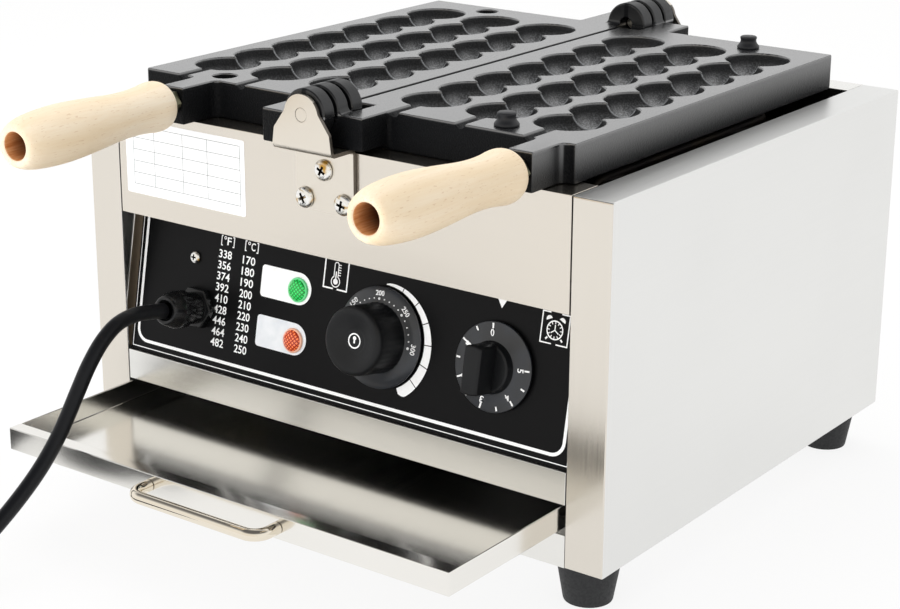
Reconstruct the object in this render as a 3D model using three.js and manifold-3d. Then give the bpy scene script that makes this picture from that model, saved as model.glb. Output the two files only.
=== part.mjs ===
// Bubble waffle maker: a stainless box with two folding cast plates, a drip tray and a control panel.
// Millimetres. +X is the right-hand side seen from the front, +Y goes to the back and +Z up.
// While the pieces are made, y = 0 is the front of the body and z = 0 the surface that it stands on.
import * as THREE from 'three';
import { mergeVertices } from 'three/addons/utils/BufferGeometryUtils.js';
import Module from 'manifold-3d';

const wasm = await Module();
wasm.setup();

// General clearances
const gap = 0.3;
const runGap = 0.5;
const overrun = 2;

// Body shell
const bodyWidth = 375;
const bodyDepth = 332;
const shellHeight = 209;
const sheet = 1.2;
const flange = 24.4;
const flangeLip = 8;
const footHeight = 26.5;
const footTopRadius = 18.5;
const footBottomRadius = 14;
const footInset = 24;
const footHoleRadius = 5;
const footHoleDepth = 9;
const footSides = 12;

// Front of the body, from the bottom up
const baseLipHeight = 19.2;
const stripBottom = 63.2;
const stripHeight = 19.1;
const stripLedge = 18;
const upperPanelBottom = 171;
const upperPanelFold = 30;
const backFlange = 22;

// Vents of the back panel and of the base
const ventLength = 52;
const ventWidth = 5;
const ventPitch = 13;
const ventRows = 6;
const backVentOffset = 95;
const backVentBottom = 70;
const baseVentOffset = 70;
const baseVentFront = 70;

// Slanted control panel. The shares place its pieces across its half width.
const acrossShares = { screw: -0.71437, gland: -0.67138, lamp: -0.21253, temperature: 0.17936, timer: 0.66646 };
const panelFrontY = 2.5;
const panelLeanDeg = 10.75;
const fasciaThickness = 0.8;
const fasciaTopMargin = 1.5;
const frameMargin = 9.2;
const frameFold = 14;
const panelScrewUp = 65.2;
const panelScrewRadius = 2;
const panelScrewHeadRadius = 3.8;
const panelScrewHead = 2.2;
const panelScrewLength = 8;

// Lamps
const powerLampUp = 60.7;
const heatLampUp = 30.6;
const lampRadius = 7.3;
const lampRim = 1.2;
const lampDome = 2.6;
const lampBodyRadius = 5.8;
const lampBodyDepth = 26;

// Temperature knob and its thermostat
const temperatureUp = 45.7;
const dialRadius = 29.2;
const dialThickness = 4.6;
const dialBevel = 1.6;
const dialLift = 1.4;
const gripRadius = 20;
const gripHeight = 27.5;
const gripFlutes = 22;
const gripFluteDepth = 0.9;
const shaftRadius = 3;
const shaftReach = 17;
const shaftRoot = 6;
const thermostatWidth = 46;
const thermostatHeight = 40;
const thermostatDepth = 30;

// Timer knob and its clockwork
const timerUp = 45.7;
const timerDialRadius = 25.2;
const timerBossRadius = 14.2;
const timerBossHeight = 10;
const timerBarWidth = 11;
const timerBarLength = 27.5;
const timerHeight = 24.5;
const timerBodyRadius = 24;
const timerBodyDepth = 32;

// Cable gland in the control panel
const glandUp = 35.8;
const glandHexRadius = 13.2;
const glandHexHeight = 6;
const glandBodyRadius = 9.6;
const glandBodyHeight = 15;
const glandCapRadius = 11.4;
const glandCapNose = 8;
const glandCapEnd = 31;
const glandThreadDepth = 10;

// Terminal block on the inside of the left wall
const terminalLength = 62;
const terminalHeight = 24;
const terminalDepth = 18;
const terminalFront = 70;
const terminalBottom = 110;
const terminalWays = 6;
const terminalSlot = 4.5;

// Drip tray, its runners and its handle
const trayGap = 2.3;
const trayBackGap = 32;
const trayBottom = 48.7;
const trayHeight = 13.5;
const trayOut = 101;
const trayFlange = 9;
const traySheet = 1.2;
const runnerOverlap = 8.5;
const runnerHeight = 12;
const runnerFront = 16;
const runnerBackGap = 26;
const handleSpacing = 94;
const handleReach = 16;
const handleRod = 3.5;
const handleBend = 9;
const handleSides = 8;
const trayScrewRadius = 1.9;
const trayScrewHeadRadius = 4;
const trayScrewHead = 2.4;
const trayScrewGrip = 8;

// Heating chamber and heaters
const chamberDepth = 55.5;
const chamberGap = 0.6;
const chamberRim = 12;
const heaterRadius = 3.25;
const heaterLift = 42;
const heaterFirstX = 28;
const heaterSideGap = 31.3;
const heaterLegs = 4;
const heaterFront = 62;
const heaterBackGap = 60;
const heaterEndLength = 12;
const heaterCollarRadius = 7;
const heaterCollarHeight = 6;
const heaterSides = 6;
const barWidth = 12;
const barThickness = 2;
const frontBarInset = 33;
const backBarInset = 37;
const bulbRadius = 3;
const bulbX = 11;
const bulbFrontInset = 22;
const bulbBackInset = 26;
const capillaryRadius = 1.1;
const capillaryBend = 12;

// Cast plates
const plateRise = 22;
const plateThickness = 21.7;
const plateSideGap = 10.1;
const seamHalf = 0.4;
const plateFrontOverlap = 7.7;
const plateBackGap = 26.2;
const dentsPerRow = 7;
const rowsPerPlate = 3;
const firstDentInset = 39.1;
const lastDentInset = 41.7;
const firstRowX = 33.8;
const lastRowInset = 29.5;
const dentRadius = 19.6;
const dentDepth = 16.8;
const dentSides = 11;
const dentRings = 3;
const backSides = 8;
const backRings = 2;
const grooveRadius = 3.5;
const grooveSink = 0.4;
const wallUnderDent = 4.4;
const skin = 6.5;
const pocketFrontInset = 24.3;
const pocketBackInset = 17.8;
const pocketRim = 8;
const lugWidth = 15.5;
const lugReach = 27.9;
const rightLugInset = 15.5;
const leftLugInset = 47.7;
const studRadius = 7.25;
const studInset = 51.8;
const frontStudInset = 11.8;
const backStudInset = 13.4;
const studBaseRadius = 6.7;
const studTopRadius = 5.3;
const studHeight = 7.4;
const studShank = 3.8;
const studDepth = 5;

// Hinge
const knuckleRadius = 14.3;
const knuckleRelief = 1.5;
const knuckleGap = 2.4;
const hingeLugReach = 30.4;
const hingeLugHeight = 18.9;
const knuckleInner = 14.8;
const knuckleNotch = 22.4;
const backKnuckleInset = 23;
const backSpan = 15.6;
const backLugReach = 34;
const pinRadius = 4;
const bracketReach = 21.5;
const bracketSheet = 2.2;
const bracketHalf = 20.8;
const bracketLift = 2.8;
const shoulderRise = 11.5;
const tongueRadius = 11.4;
const downShares = { bracket: 0.5659, topScrew: 0.19225, lowScrews: 0.46667 };
const bracketScrewSide = 13.9;
const bracketScrewRadius = 2.5;
const bracketScrewHeadRadius = 6.1;
const bracketScrewHead = 3;
const bracketScrewLength = 9;

// Turned wooden handles. Each sits a little crooked on its lug
const leftHandleRiseDeg = -0.6;
const leftHandleSideDeg = 2.3;
const leftHandleLift = 2.2;
const rightHandleRiseDeg = 1.4;
const handleLength = 116.4;
const nutRadius = 7.5;
const nutThickness = 8;
const woodEndRadius = 11;
const woodBellyRadius = 16.2;
const woodWaistRadius = 13;
const woodCollarRadius = 14.6;
const woodHoleRadius = 7.7;
const woodHoleDepth = 46;
const boltRadius = 4;
const boltHeadRadius = 6.6;
const boltHeadHeight = 6;
const boltGrip = 13;

// Mains cord, coil and plug
const cordLength = 1800;
const cordRadius = 4.5;
const cordFloorGap = 0.2;
const coilTurns = 4.5;
const coilStep = 9.6;
const coilLoopSteps = 24;
const coilSides = 6;
const coilTail = 9;
const plugTail = 42;
const plugLength = 46;
const plugHeight = 26;
const plugWidth = 36;
const plugNeckRadius = 6.6;
const plugNeckLength = 24;
const plugPinRadius = 2.4;
const plugPinLength = 19;
const plugPinSpacing = 19;

// Places that follow from the sizes above
const half = bodyWidth / 2;
const shellTop = footHeight + shellHeight;
const openingHalf = half - flange;
const insert = openingHalf - gap;
const lean = THREE.MathUtils.degToRad(panelLeanDeg);
const panelFrontZ = stripBottom + stripHeight + gap;
const plateTop = shellTop + plateRise;
const plateBottom = plateTop - plateThickness;
const hingeZ = plateTop + gap;
const lugMidZ = plateTop - plateThickness / 2;
const plateFront = flange - plateFrontOverlap;
const plateBack = bodyDepth - plateBackGap;
const plateWidth = openingHalf - plateSideGap;
const rowPitch = (plateWidth - lastRowInset - firstRowX) / (rowsPerPlate - 1);
const firstDentY = plateFront + firstDentInset;
const dentPitch = (plateBack - lastDentInset - firstDentY) / (dentsPerRow - 1);
const pocketFront = plateFront + pocketFrontInset;
const pocketBack = plateBack - pocketBackInset;
const rightLugX = plateWidth - rightLugInset;
const leftLugX = plateWidth - leftLugInset;
const studX = plateWidth - studInset;
const frontStudY = plateFront + frontStudInset;
const backStudY = plateBack - backStudInset;
const backKnuckleInner = bodyDepth - backKnuckleInset;
const lugFrontY = plateFront - lugReach;
const chamberHalf = openingHalf - sheet - chamberGap;
const chamberFront = flange - sheet;
const chamberBack = bodyDepth - backFlange + sheet;
const chamberTop = shellTop - sheet - gap;
const chamberBase = shellTop - chamberDepth;
const heaterHeight = chamberBase + heaterLift;
const heaterPitch = (chamberHalf - heaterSideGap - heaterFirstX) / (heaterLegs - 1);
const heaterBack = bodyDepth - heaterBackGap;
const frontBarY = heaterFront + frontBarInset;
const backBarY = heaterBack - backBarInset;
const bulbFront = heaterFront + bulbFrontInset;
const bulbBack = heaterBack - bulbBackInset;
const frameSide = insert + frameMargin;
const panelScrewX = insert * acrossShares.screw;
const glandX = insert * acrossShares.gland;
const lampX = insert * acrossShares.lamp;
const temperatureX = insert * acrossShares.temperature;
const timerX = insert * acrossShares.timer;
const upperPanelHeight = shellTop - upperPanelBottom;
const bracketDrop = upperPanelHeight * downShares.bracket;
const bracketScrewTop = upperPanelHeight * downShares.topScrew;
const bracketScrewLow = upperPanelHeight * downShares.lowScrews;
const outerSpan = bracketReach - bracketSheet - runGap;
const shelfTop = shellTop + bracketLift;
const hingeLugBottom = plateTop - hingeLugHeight;

// Straight tools

// A three.js geometry as a closed solid that faces outwards
function solid(geometry) {
  const bare = geometry.clone();
  bare.deleteAttribute('normal');
  bare.deleteAttribute('uv');
  const merged = mergeVertices(bare);
  const points = merged.attributes.position.array;
  const corners = [];
  let volume = 0;
  for (let i = 0; i < merged.index.count; i += 3) {
    const [a, b, c] = [0, 1, 2].map((k) => merged.index.getX(i + k));
    if (a === b || b === c || c === a) continue;
    corners.push(a, b, c);
    const [p, q, r] = [a, b, c].map((k) => new THREE.Vector3().fromArray(points, 3 * k));
    volume += p.dot(q.cross(r));
  }
  if (volume < 0) corners.reverse();
  const triVerts = new Uint32Array(corners);
  return new wasm.Manifold(new wasm.Mesh({ numProp: 3, vertProperties: new Float32Array(points), triVerts }));
}

function geometryOf(body) {
  const mesh = body.getMesh();
  const geometry = new THREE.BufferGeometry();
  geometry.setAttribute('position', new THREE.BufferAttribute(mesh.vertProperties, 3));
  geometry.setIndex(new THREE.BufferAttribute(mesh.triVerts, 1));
  return geometry;
}

function join(parts) {
  return geometryOf(parts.map(solid).reduce((whole, part) => whole.add(part)));
}

function cut(base, tools) {
  return geometryOf(tools.map(solid).reduce((whole, tool) => whole.subtract(tool), solid(base)));
}

function box(x0, x1, y0, y1, z0, z1) {
  const geometry = new THREE.BoxGeometry(x1 - x0, y1 - y0, z1 - z0);
  return geometry.translate((x0 + x1) / 2, (y0 + y1) / 2, (z0 + z1) / 2);
}

function outline(points) {
  return new THREE.Shape(points.map(([a, b]) => new THREE.Vector2(a, b)));
}

// An outline of [y, z] points, drawn out from x0 to x1
function alongX(points, x0, x1) {
  const geometry = new THREE.ExtrudeGeometry(outline(points), { depth: x1 - x0, bevelEnabled: false });
  const turn = new THREE.Matrix4().makeBasis(
    new THREE.Vector3(0, 1, 0), new THREE.Vector3(0, 0, 1), new THREE.Vector3(1, 0, 0));
  return geometry.applyMatrix4(turn).translate(x0, 0, 0);
}

// An outline of [x, z] points, drawn out from y0 to y1
function alongY(points, y0, y1) {
  const geometry = new THREE.ExtrudeGeometry(outline(points), { depth: y1 - y0, bevelEnabled: false });
  return geometry.rotateX(Math.PI / 2).translate(0, y1, 0);
}

// An outline of [x, y] points, drawn out from z0 to z1
function upright(points, z0, z1) {
  const geometry = new THREE.ExtrudeGeometry(outline(points), { depth: z1 - z0, bevelEnabled: false });
  return geometry.translate(0, 0, z0);
}

// A profile of [radius, height] points turned about the Z axis
function turned(profile, sides) {
  const points = profile.map(([r, h]) => new THREE.Vector2(r, h));
  return new THREE.LatheGeometry(points, sides).rotateX(Math.PI / 2);
}

// A plain rod standing on the Z axis between two heights
function rod(radius, z0, z1, sides) {
  const geometry = new THREE.CylinderGeometry(radius, radius, z1 - z0, sides);
  return geometry.rotateX(Math.PI / 2).translate(0, 0, (z0 + z1) / 2);
}

// A rod along Y between two places
function rodY(radius, x, z, y0, y1, sides) {
  const geometry = new THREE.CylinderGeometry(radius, radius, y1 - y0, sides);
  return geometry.translate(x, (y0 + y1) / 2, z);
}

// A path whose rings lie exactly on its own points
class RingPath extends THREE.Curve {
  constructor(points) {
    super();
    this.points = points;
  }

  getPoint(t) {
    const place = t * (this.points.length - 1);
    const index = Math.min(Math.floor(place), this.points.length - 2);
    return this.points[index].clone().lerp(this.points[index + 1], place - index);
  }

  getUtoTmapping(u) {
    return u;
  }
}

function tube(path, radius, sides, steps) {
  const section = Array.from({ length: sides }, (unused, i) => {
    const angle = (2 * Math.PI * i) / sides;
    return [radius * Math.cos(angle), radius * Math.sin(angle)];
  });
  return new THREE.ExtrudeGeometry(outline(section), { steps, extrudePath: path, bevelEnabled: false });
}

function ringTube(points, radius, sides) {
  return tube(new RingPath(points), radius, sides, points.length - 1);
}

// Straight runs between corners, each corner rounded with a bend of its own radius
function roundedPath(corners, bend, bendSteps) {
  const points = [corners[0]];
  for (let i = 1; i < corners.length - 1; i += 1) {
    const toward = corners[i - 1].clone().sub(corners[i]).normalize();
    const away = corners[i + 1].clone().sub(corners[i]).normalize();
    const turn = toward.angleTo(away);
    const reach = bend / Math.tan(turn / 2);
    const middle = toward.clone().add(away).normalize().multiplyScalar(bend / Math.sin(turn / 2)).add(corners[i]);
    const start = corners[i].clone().addScaledVector(toward, reach).sub(middle);
    const axis = start.clone().cross(corners[i].clone().addScaledVector(away, reach).sub(middle)).normalize();
    for (let k = 0; k <= bendSteps; k += 1) {
      points.push(start.clone().applyAxisAngle(axis, ((Math.PI - turn) * k) / bendSteps).add(middle));
    }
  }
  points.push(corners[corners.length - 1]);
  return points;
}

// A pan head screw on the Z axis: its head stands up from z = 0 and its shank goes down
function screw(shankRadius, headRadius, headHeight, length, sides) {
  const shoulderShare = 0.82;
  const crossShare = 0.13;
  const crossReachShare = 0.5;
  const body = turned([[0, -length], [shankRadius, -length], [shankRadius, 0], [headRadius, 0],
    [headRadius * shoulderShare, headHeight * shoulderShare], [0, headHeight]], sides);
  const arm = headRadius * crossReachShare;
  const blade = headRadius * crossShare;
  const depth = headHeight / 2;
  return cut(body, [
    box(-arm, arm, -blade, blade, depth, headHeight + overrun),
    box(-blade, blade, -arm, arm, depth, headHeight + overrun),
  ]);
}

// Finishes
function finish(color, roughness, metalness) {
  return new THREE.MeshStandardMaterial({ color, roughness, metalness });
}
const steel = () => finish(0xc9c6c0, 0.32, 0.95);
const chrome = () => finish(0xe2e4e6, 0.08, 1);
const coated = () => finish(0x232527, 0.55, 0.3);
const wood = () => finish(0xe3c79c, 0.6, 0);
const blackPlastic = () => finish(0x141516, 0.42, 0);
const rubber = () => finish(0x18191b, 0.75, 0);
const zinc = () => finish(0xb9bab6, 0.35, 0.9);

const machine = new THREE.Group();

function add(name, geometry, material, parent = machine) {
  const whole = geometryOf(solid(geometry));
  whole.computeVertexNormals();
  const mesh = new THREE.Mesh(whole, material);
  mesh.name = name;
  parent.add(mesh);
  return mesh;
}

// Side panels: a wall with flanges at the front, top, back and bottom, and a turned-down inner lip
function sidePanel(side) {
  const x = (from, to) => (side > 0 ? [from, to] : [-to, -from]);
  return join([
    box(...x(half - sheet, half), 0, bodyDepth, footHeight, shellTop),
    box(...x(openingHalf, half), 0, sheet, footHeight, shellTop),
    box(...x(openingHalf, half), 0, bodyDepth, shellTop - sheet, shellTop),
    box(...x(openingHalf, half), bodyDepth - sheet, bodyDepth, footHeight, shellTop),
    box(...x(openingHalf, half), 0, bodyDepth, footHeight, footHeight + sheet),
    box(...x(openingHalf, openingHalf + sheet), flange + gap, bodyDepth - backFlange - gap,
      shellTop - flangeLip, shellTop),
  ]);
}
add('left_side_panel', sidePanel(-1), steel());
add('right_side_panel', sidePanel(1), steel());

// Hinge brackets: three screws each, at these [x, z] places
const bracketScrews = [
  [0, shellTop - bracketScrewTop],
  [-bracketScrewSide, shellTop - bracketScrewLow],
  [bracketScrewSide, shellTop - bracketScrewLow],
];
const holeSides = 8;
const bracketHoles = (y0, y1) => bracketScrews.map(
  ([x, z]) => rodY(bracketScrewRadius + runGap, x, z, y0, y1, holeSides));

// Upper front panel: folded back at the top, over the chamber, and at the bottom, over the controls
const upperPanel = alongX([
  [0, upperPanelBottom], [upperPanelFold, upperPanelBottom], [upperPanelFold, upperPanelBottom + sheet],
  [sheet, upperPanelBottom + sheet], [sheet, shellTop - sheet], [flange, shellTop - sheet],
  [flange, shellTop], [0, shellTop],
], -insert, insert);
add('front_upper_panel', cut(upperPanel, bracketHoles(-overrun, sheet + overrun)), steel());

// Strip between the controls and the tray
const stripTop = stripBottom + stripHeight;
add('front_strip', alongX([
  [0, stripBottom], [stripLedge / 2, stripBottom], [stripLedge / 2, stripBottom + sheet],
  [sheet, stripBottom + sheet], [sheet, stripTop - sheet], [stripLedge, stripTop - sheet],
  [stripLedge, stripTop], [0, stripTop],
], -insert, insert), steel());

// Base with its front lip and cooling slots
function slotRow(x, y, z, count, pitch, makeSlot) {
  return Array.from({ length: count }, (unused, i) => makeSlot(x, y, z, i * pitch));
}
const baseSlot = (x, y, z, step) => box(x - ventLength / 2, x + ventLength / 2,
  y + step, y + step + ventWidth, z - overrun, z + sheet + overrun);
const base = join([
  box(-insert, insert, 0, bodyDepth - sheet - gap, footHeight, footHeight + sheet),
  box(-insert, insert, 0, sheet, footHeight, footHeight + baseLipHeight),
]);
add('base_pan', cut(base, [
  ...slotRow(-baseVentOffset, baseVentFront, footHeight, ventRows, ventPitch, baseSlot),
  ...slotRow(baseVentOffset, baseVentFront, footHeight, ventRows, ventPitch, baseSlot),
]), steel());

// Back panel with cooling slots
const backSlot = (x, y, z, step) => box(x - ventLength / 2, x + ventLength / 2,
  y - sheet - overrun, y + overrun, z + step, z + step + ventWidth);
const backPanel = alongX([
  [bodyDepth, footHeight], [bodyDepth, shellTop], [bodyDepth - backFlange, shellTop],
  [bodyDepth - backFlange, shellTop - sheet], [bodyDepth - sheet, shellTop - sheet], [bodyDepth - sheet, footHeight],
], -insert, insert);
add('rear_panel', cut(backPanel, [
  ...bracketHoles(bodyDepth - sheet - overrun, bodyDepth + overrun),
  ...slotRow(-backVentOffset, bodyDepth, backVentBottom, ventRows, ventPitch, backSlot),
  ...slotRow(backVentOffset, bodyDepth, backVentBottom, ventRows, ventPitch, backSlot),
]), steel());

// Feet: rubber cones with a sunk hole for their screw
function foot(x, y) {
  return turned([
    [0, footHoleDepth], [footHoleRadius, footHoleDepth], [footHoleRadius, 0], [footBottomRadius, 0],
    [footTopRadius, footHeight - gap], [0, footHeight - gap],
  ], footSides).translate(x, y, 0);
}
const footX = half - footInset;
add('front_left_foot', foot(-footX, footInset), rubber());
add('front_right_foot', foot(footX, footInset), rubber());
add('rear_left_foot', foot(-footX, bodyDepth - footInset), rubber());
add('rear_right_foot', foot(footX, bodyDepth - footInset), rubber());

// Control panel, built flat: x to the right, y up the slope and z out of it
const panel = new THREE.Group();
panel.position.set(0, panelFrontY, panelFrontZ);
panel.rotation.x = Math.PI / 2 - lean;
machine.add(panel);
const fasciaBack = -fasciaThickness;
const frameFront = fasciaBack - gap;
const frameBack = frameFront - sheet;
const frameTop = (upperPanelBottom - gap - panelFrontZ - frameFront * Math.sin(lean)) / Math.cos(lean);
const frameBottom = -frameBack * Math.tan(lean);
const fasciaTop = frameTop - fasciaTopMargin;
const panelSides = 14;
function panelHoles(spare) {
  const hole = (radius, x, y) => rod(radius + spare, frameBack - overrun, overrun, panelSides).translate(x, y, 0);
  return [
    hole(panelScrewRadius, panelScrewX, panelScrewUp),
    hole(lampBodyRadius, lampX, powerLampUp),
    hole(lampBodyRadius, lampX, heatLampUp),
    hole(shaftRadius, temperatureX, temperatureUp),
    hole(shaftRadius, timerX, timerUp),
    hole(glandBodyRadius, glandX, glandUp),
  ];
}
add('control_fascia', cut(box(-insert, insert, 0, fasciaTop, fasciaBack, 0), panelHoles(runGap)),
  blackPlastic(), panel);
const frameSheet = join([
  box(-frameSide, frameSide, frameBottom, frameTop, frameBack, frameFront),
  box(-frameSide, frameSide, frameTop - sheet, frameTop, frameFront - frameFold, frameFront),
]);
add('control_frame', cut(frameSheet, panelHoles(runGap)), steel(), panel);
add('panel_screw', screw(panelScrewRadius, panelScrewHeadRadius, panelScrewHead, panelScrewLength, holeSides)
  .translate(panelScrewX, panelScrewUp, gap), zinc(), panel);

// Lamps: a domed lens on a barrel that goes through the panel
function lamp(y) {
  return turned([
    [0, -lampBodyDepth], [lampBodyRadius, -lampBodyDepth], [lampBodyRadius, gap], [lampRadius, gap],
    [lampRadius, lampRim], [lampRadius * 0.8, lampRim + lampDome * 0.7], [0, lampRim + lampDome],
  ], panelSides).translate(lampX, y, 0);
}
add('power_lamp', lamp(powerLampUp), finish(0x19c53c, 0.25, 0), panel);
add('heating_lamp', lamp(heatLampUp), finish(0xe2471c, 0.25, 0), panel);

// Temperature knob: a numbered dial with a fluted grip, on the thermostat's shaft
function flutedGrip() {
  const points = [];
  for (let i = 0; i < gripFlutes * 2; i += 1) {
    const angle = (Math.PI * i) / gripFlutes;
    const radius = i % 2 ? gripRadius - gripFluteDepth : gripRadius;
    points.push([radius * Math.cos(angle), radius * Math.sin(angle)]);
  }
  return upright(points, dialThickness, gripHeight);
}
const dialSides = 24;
function dial(radius) {
  return turned([
    [0, dialLift], [radius, dialLift], [radius, dialThickness - dialBevel],
    [radius - dialBevel * 2, dialThickness + gap], [0, dialThickness + gap],
  ], dialSides);
}
const shaftHole = rod(shaftRadius + gap, -overrun, shaftReach + gap, panelSides);
const capRadius = gripRadius * 0.72;
const capSink = 0.8;
add('temperature_knob', cut(join([dial(dialRadius), flutedGrip()]), [
  shaftHole,
  rod(capRadius, gripHeight - capSink, gripHeight + overrun, panelSides),
]).translate(temperatureX, temperatureUp, 0), blackPlastic(), panel);
const bodyTop = frameBack - gap;
function shaft(x, y) {
  return rod(shaftRadius, bodyTop - shaftRoot, shaftReach, panelSides).translate(x, y, 0);
}
add('thermostat_shaft', shaft(temperatureX, temperatureUp), zinc(), panel);
const thermostatShell = box(temperatureX - thermostatWidth / 2, temperatureX + thermostatWidth / 2,
  temperatureUp - thermostatHeight / 2, temperatureUp + thermostatHeight / 2, bodyTop - thermostatDepth, bodyTop);
const rootHole = (x, y) => rod(shaftRadius + gap, bodyTop - shaftRoot - gap, overrun, panelSides).translate(x, y, 0);
add('thermostat_body', cut(thermostatShell, [rootHole(temperatureX, temperatureUp)]), finish(0x6d6a63, 0.5, 0.4), panel);

// Timer knob: a numbered dial with a raised boss and a bar grip, on the clockwork's shaft
const timerBar = join([
  box(-timerBarWidth / 2, timerBarWidth / 2, -timerBarLength / 2 + timerBarWidth / 2,
    timerBarLength / 2 - timerBarWidth / 2, dialThickness, timerHeight),
  rod(timerBarWidth / 2, dialThickness, timerHeight, holeSides)
    .translate(0, timerBarLength / 2 - timerBarWidth / 2, 0),
  rod(timerBarWidth / 2, dialThickness, timerHeight, holeSides)
    .translate(0, timerBarWidth / 2 - timerBarLength / 2, 0),
]);
add('timer_knob', cut(join([dial(timerDialRadius), rod(timerBossRadius, dialThickness, timerBossHeight, dialSides),
  timerBar]), [shaftHole]).translate(timerX, timerUp, 0), blackPlastic(), panel);
add('timer_shaft', shaft(timerX, timerUp), zinc(), panel);
add('timer_body', cut(rod(timerBodyRadius, bodyTop - timerBodyDepth, bodyTop, panelSides)
  .translate(timerX, timerUp, 0), [rootHole(timerX, timerUp)]), finish(0xa9a39a, 0.45, 0.6), panel);

// Cable gland: a body with a hexagon, screwed through the panel, and a cap that grips the cord
const hexSides = 6;
const cordBore = cordRadius + gap;
add('gland_body', cut(join([
  rod(glandBodyRadius, -glandThreadDepth, glandBodyHeight, panelSides),
  rod(glandHexRadius, gap, glandHexHeight, hexSides),
]), [rod(cordBore, -glandThreadDepth - overrun, glandBodyHeight + overrun, panelSides)])
  .translate(glandX, glandUp, 0), blackPlastic(), panel);
add('gland_cap', turned([
  [cordBore, glandBodyHeight + gap], [glandCapRadius, glandBodyHeight + gap],
  [glandCapRadius, glandCapEnd - glandCapNose], [glandCapRadius * 0.72, glandCapEnd],
  [cordBore, glandCapEnd], [cordBore, glandBodyHeight + gap],
], panelSides).translate(glandX, glandUp, 0), blackPlastic(), panel);

// Terminal block on the left wall
const blockWall = sheet + gap;
const terminalPitch = terminalLength / terminalWays;
const terminalBlock = box(blockWall - half, blockWall + terminalDepth - half,
  terminalFront, terminalFront + terminalLength, terminalBottom, terminalBottom + terminalHeight);
add('terminal_block', cut(terminalBlock, Array.from({ length: terminalWays }, (unused, i) => {
  const y = terminalFront + terminalPitch * (i + 0.5);
  const x = blockWall + terminalDepth - half;
  return box(x - terminalSlot, x + overrun, y - terminalSlot / 2, y + terminalSlot / 2,
    terminalBottom - overrun, terminalBottom + terminalSlot);
})), finish(0xd9d4c4, 0.5, 0));

// Drip tray, at the place where it stands pulled out. Its front wall is folded back at the top
const trayHalf = insert - trayGap;
const trayDepth = bodyDepth - trayBackGap;
const trayTop = trayBottom + trayHeight;
const trayMidZ = trayBottom + trayHeight / 2;
const trayBox = box(-trayHalf, trayHalf, -trayOut, trayDepth - trayOut, trayBottom, trayTop);
const trayHollow = join([
  box(traySheet - trayHalf, trayHalf - traySheet, traySheet - trayOut,
    trayDepth - trayOut - traySheet, trayBottom + traySheet, trayTop - traySheet),
  box(traySheet - trayHalf, trayHalf - traySheet, trayFlange - trayOut,
    trayDepth - trayOut - traySheet, trayMidZ, trayTop + overrun),
]);
const handleEnds = [-handleSpacing / 2, handleSpacing / 2];
add('drip_tray', cut(trayBox, [trayHollow,
  ...handleEnds.map((x) => rodY(trayScrewRadius + gap, x, trayMidZ, -trayOut - overrun,
    traySheet - trayOut + overrun, holeSides))]), steel());
const handleStart = -trayOut - gap;
const bar = ringTube(roundedPath([
  new THREE.Vector3(-handleSpacing / 2, handleStart, trayMidZ),
  new THREE.Vector3(-handleSpacing / 2, -trayOut - handleReach, trayMidZ),
  new THREE.Vector3(handleSpacing / 2, -trayOut - handleReach, trayMidZ),
  new THREE.Vector3(handleSpacing / 2, handleStart, trayMidZ),
], handleBend, 4), handleRod, handleSides);
add('tray_handle', cut(bar, handleEnds.map((x) => rodY(trayScrewRadius + gap, x, trayMidZ,
  handleStart - trayScrewGrip - gap, -trayOut + overrun, holeSides))), chrome());
handleEnds.forEach((x, i) => add(['left_handle_screw', 'right_handle_screw'][i],
  screw(trayScrewRadius, trayScrewHeadRadius, trayScrewHead, trayScrewGrip + traySheet + gap, holeSides)
    .rotateX(-Math.PI / 2).translate(x, traySheet + gap - trayOut, trayMidZ), zinc()));

// Runners: angles on the side walls that the tray slides on
function runner(side) {
  const x = (from, to) => (side > 0 ? [from, to] : [-to, -from]);
  const wall = half - sheet - gap;
  const top = trayBottom - gap;
  const inner = trayHalf - runnerOverlap;
  return join([
    box(...x(inner, wall), runnerFront, bodyDepth - runnerBackGap, top - sheet, top),
    box(...x(wall - sheet, wall), runnerFront, bodyDepth - runnerBackGap, top - sheet, top - sheet + runnerHeight),
  ]);
}
add('left_runner', runner(-1), zinc());
add('right_runner', runner(1), zinc());

// Heating chamber: an open liner hung under the front and back flanges
const bulbCentreX = -bulbX;
const heaterEnds = [heaterFirstX, heaterFirstX + heaterPitch * (heaterLegs - 1)];
const chamber = cut(join([
  box(-chamberHalf, chamberHalf, chamberFront, chamberBack, chamberBase, chamberTop),
  box(-chamberHalf, chamberHalf, chamberFront - chamberRim, chamberBack + chamberRim,
    chamberTop - sheet, chamberTop),
]), [
  box(sheet - chamberHalf, chamberHalf - sheet, chamberFront + sheet, chamberBack - sheet,
    chamberBase + sheet, chamberTop + overrun),
  ...[-1, 1].flatMap((side) => heaterEnds.map((x) => rod(heaterRadius + runGap,
    chamberBase - overrun, chamberBase + sheet + overrun, holeSides).translate(side * x, heaterFront, 0))),
  rod(capillaryRadius + runGap, chamberBase - overrun, chamberBase + sheet + overrun, holeSides)
    .translate(bulbCentreX, bulbFront - capillaryBend, 0),
]);
add('heating_chamber', chamber, steel());

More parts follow.
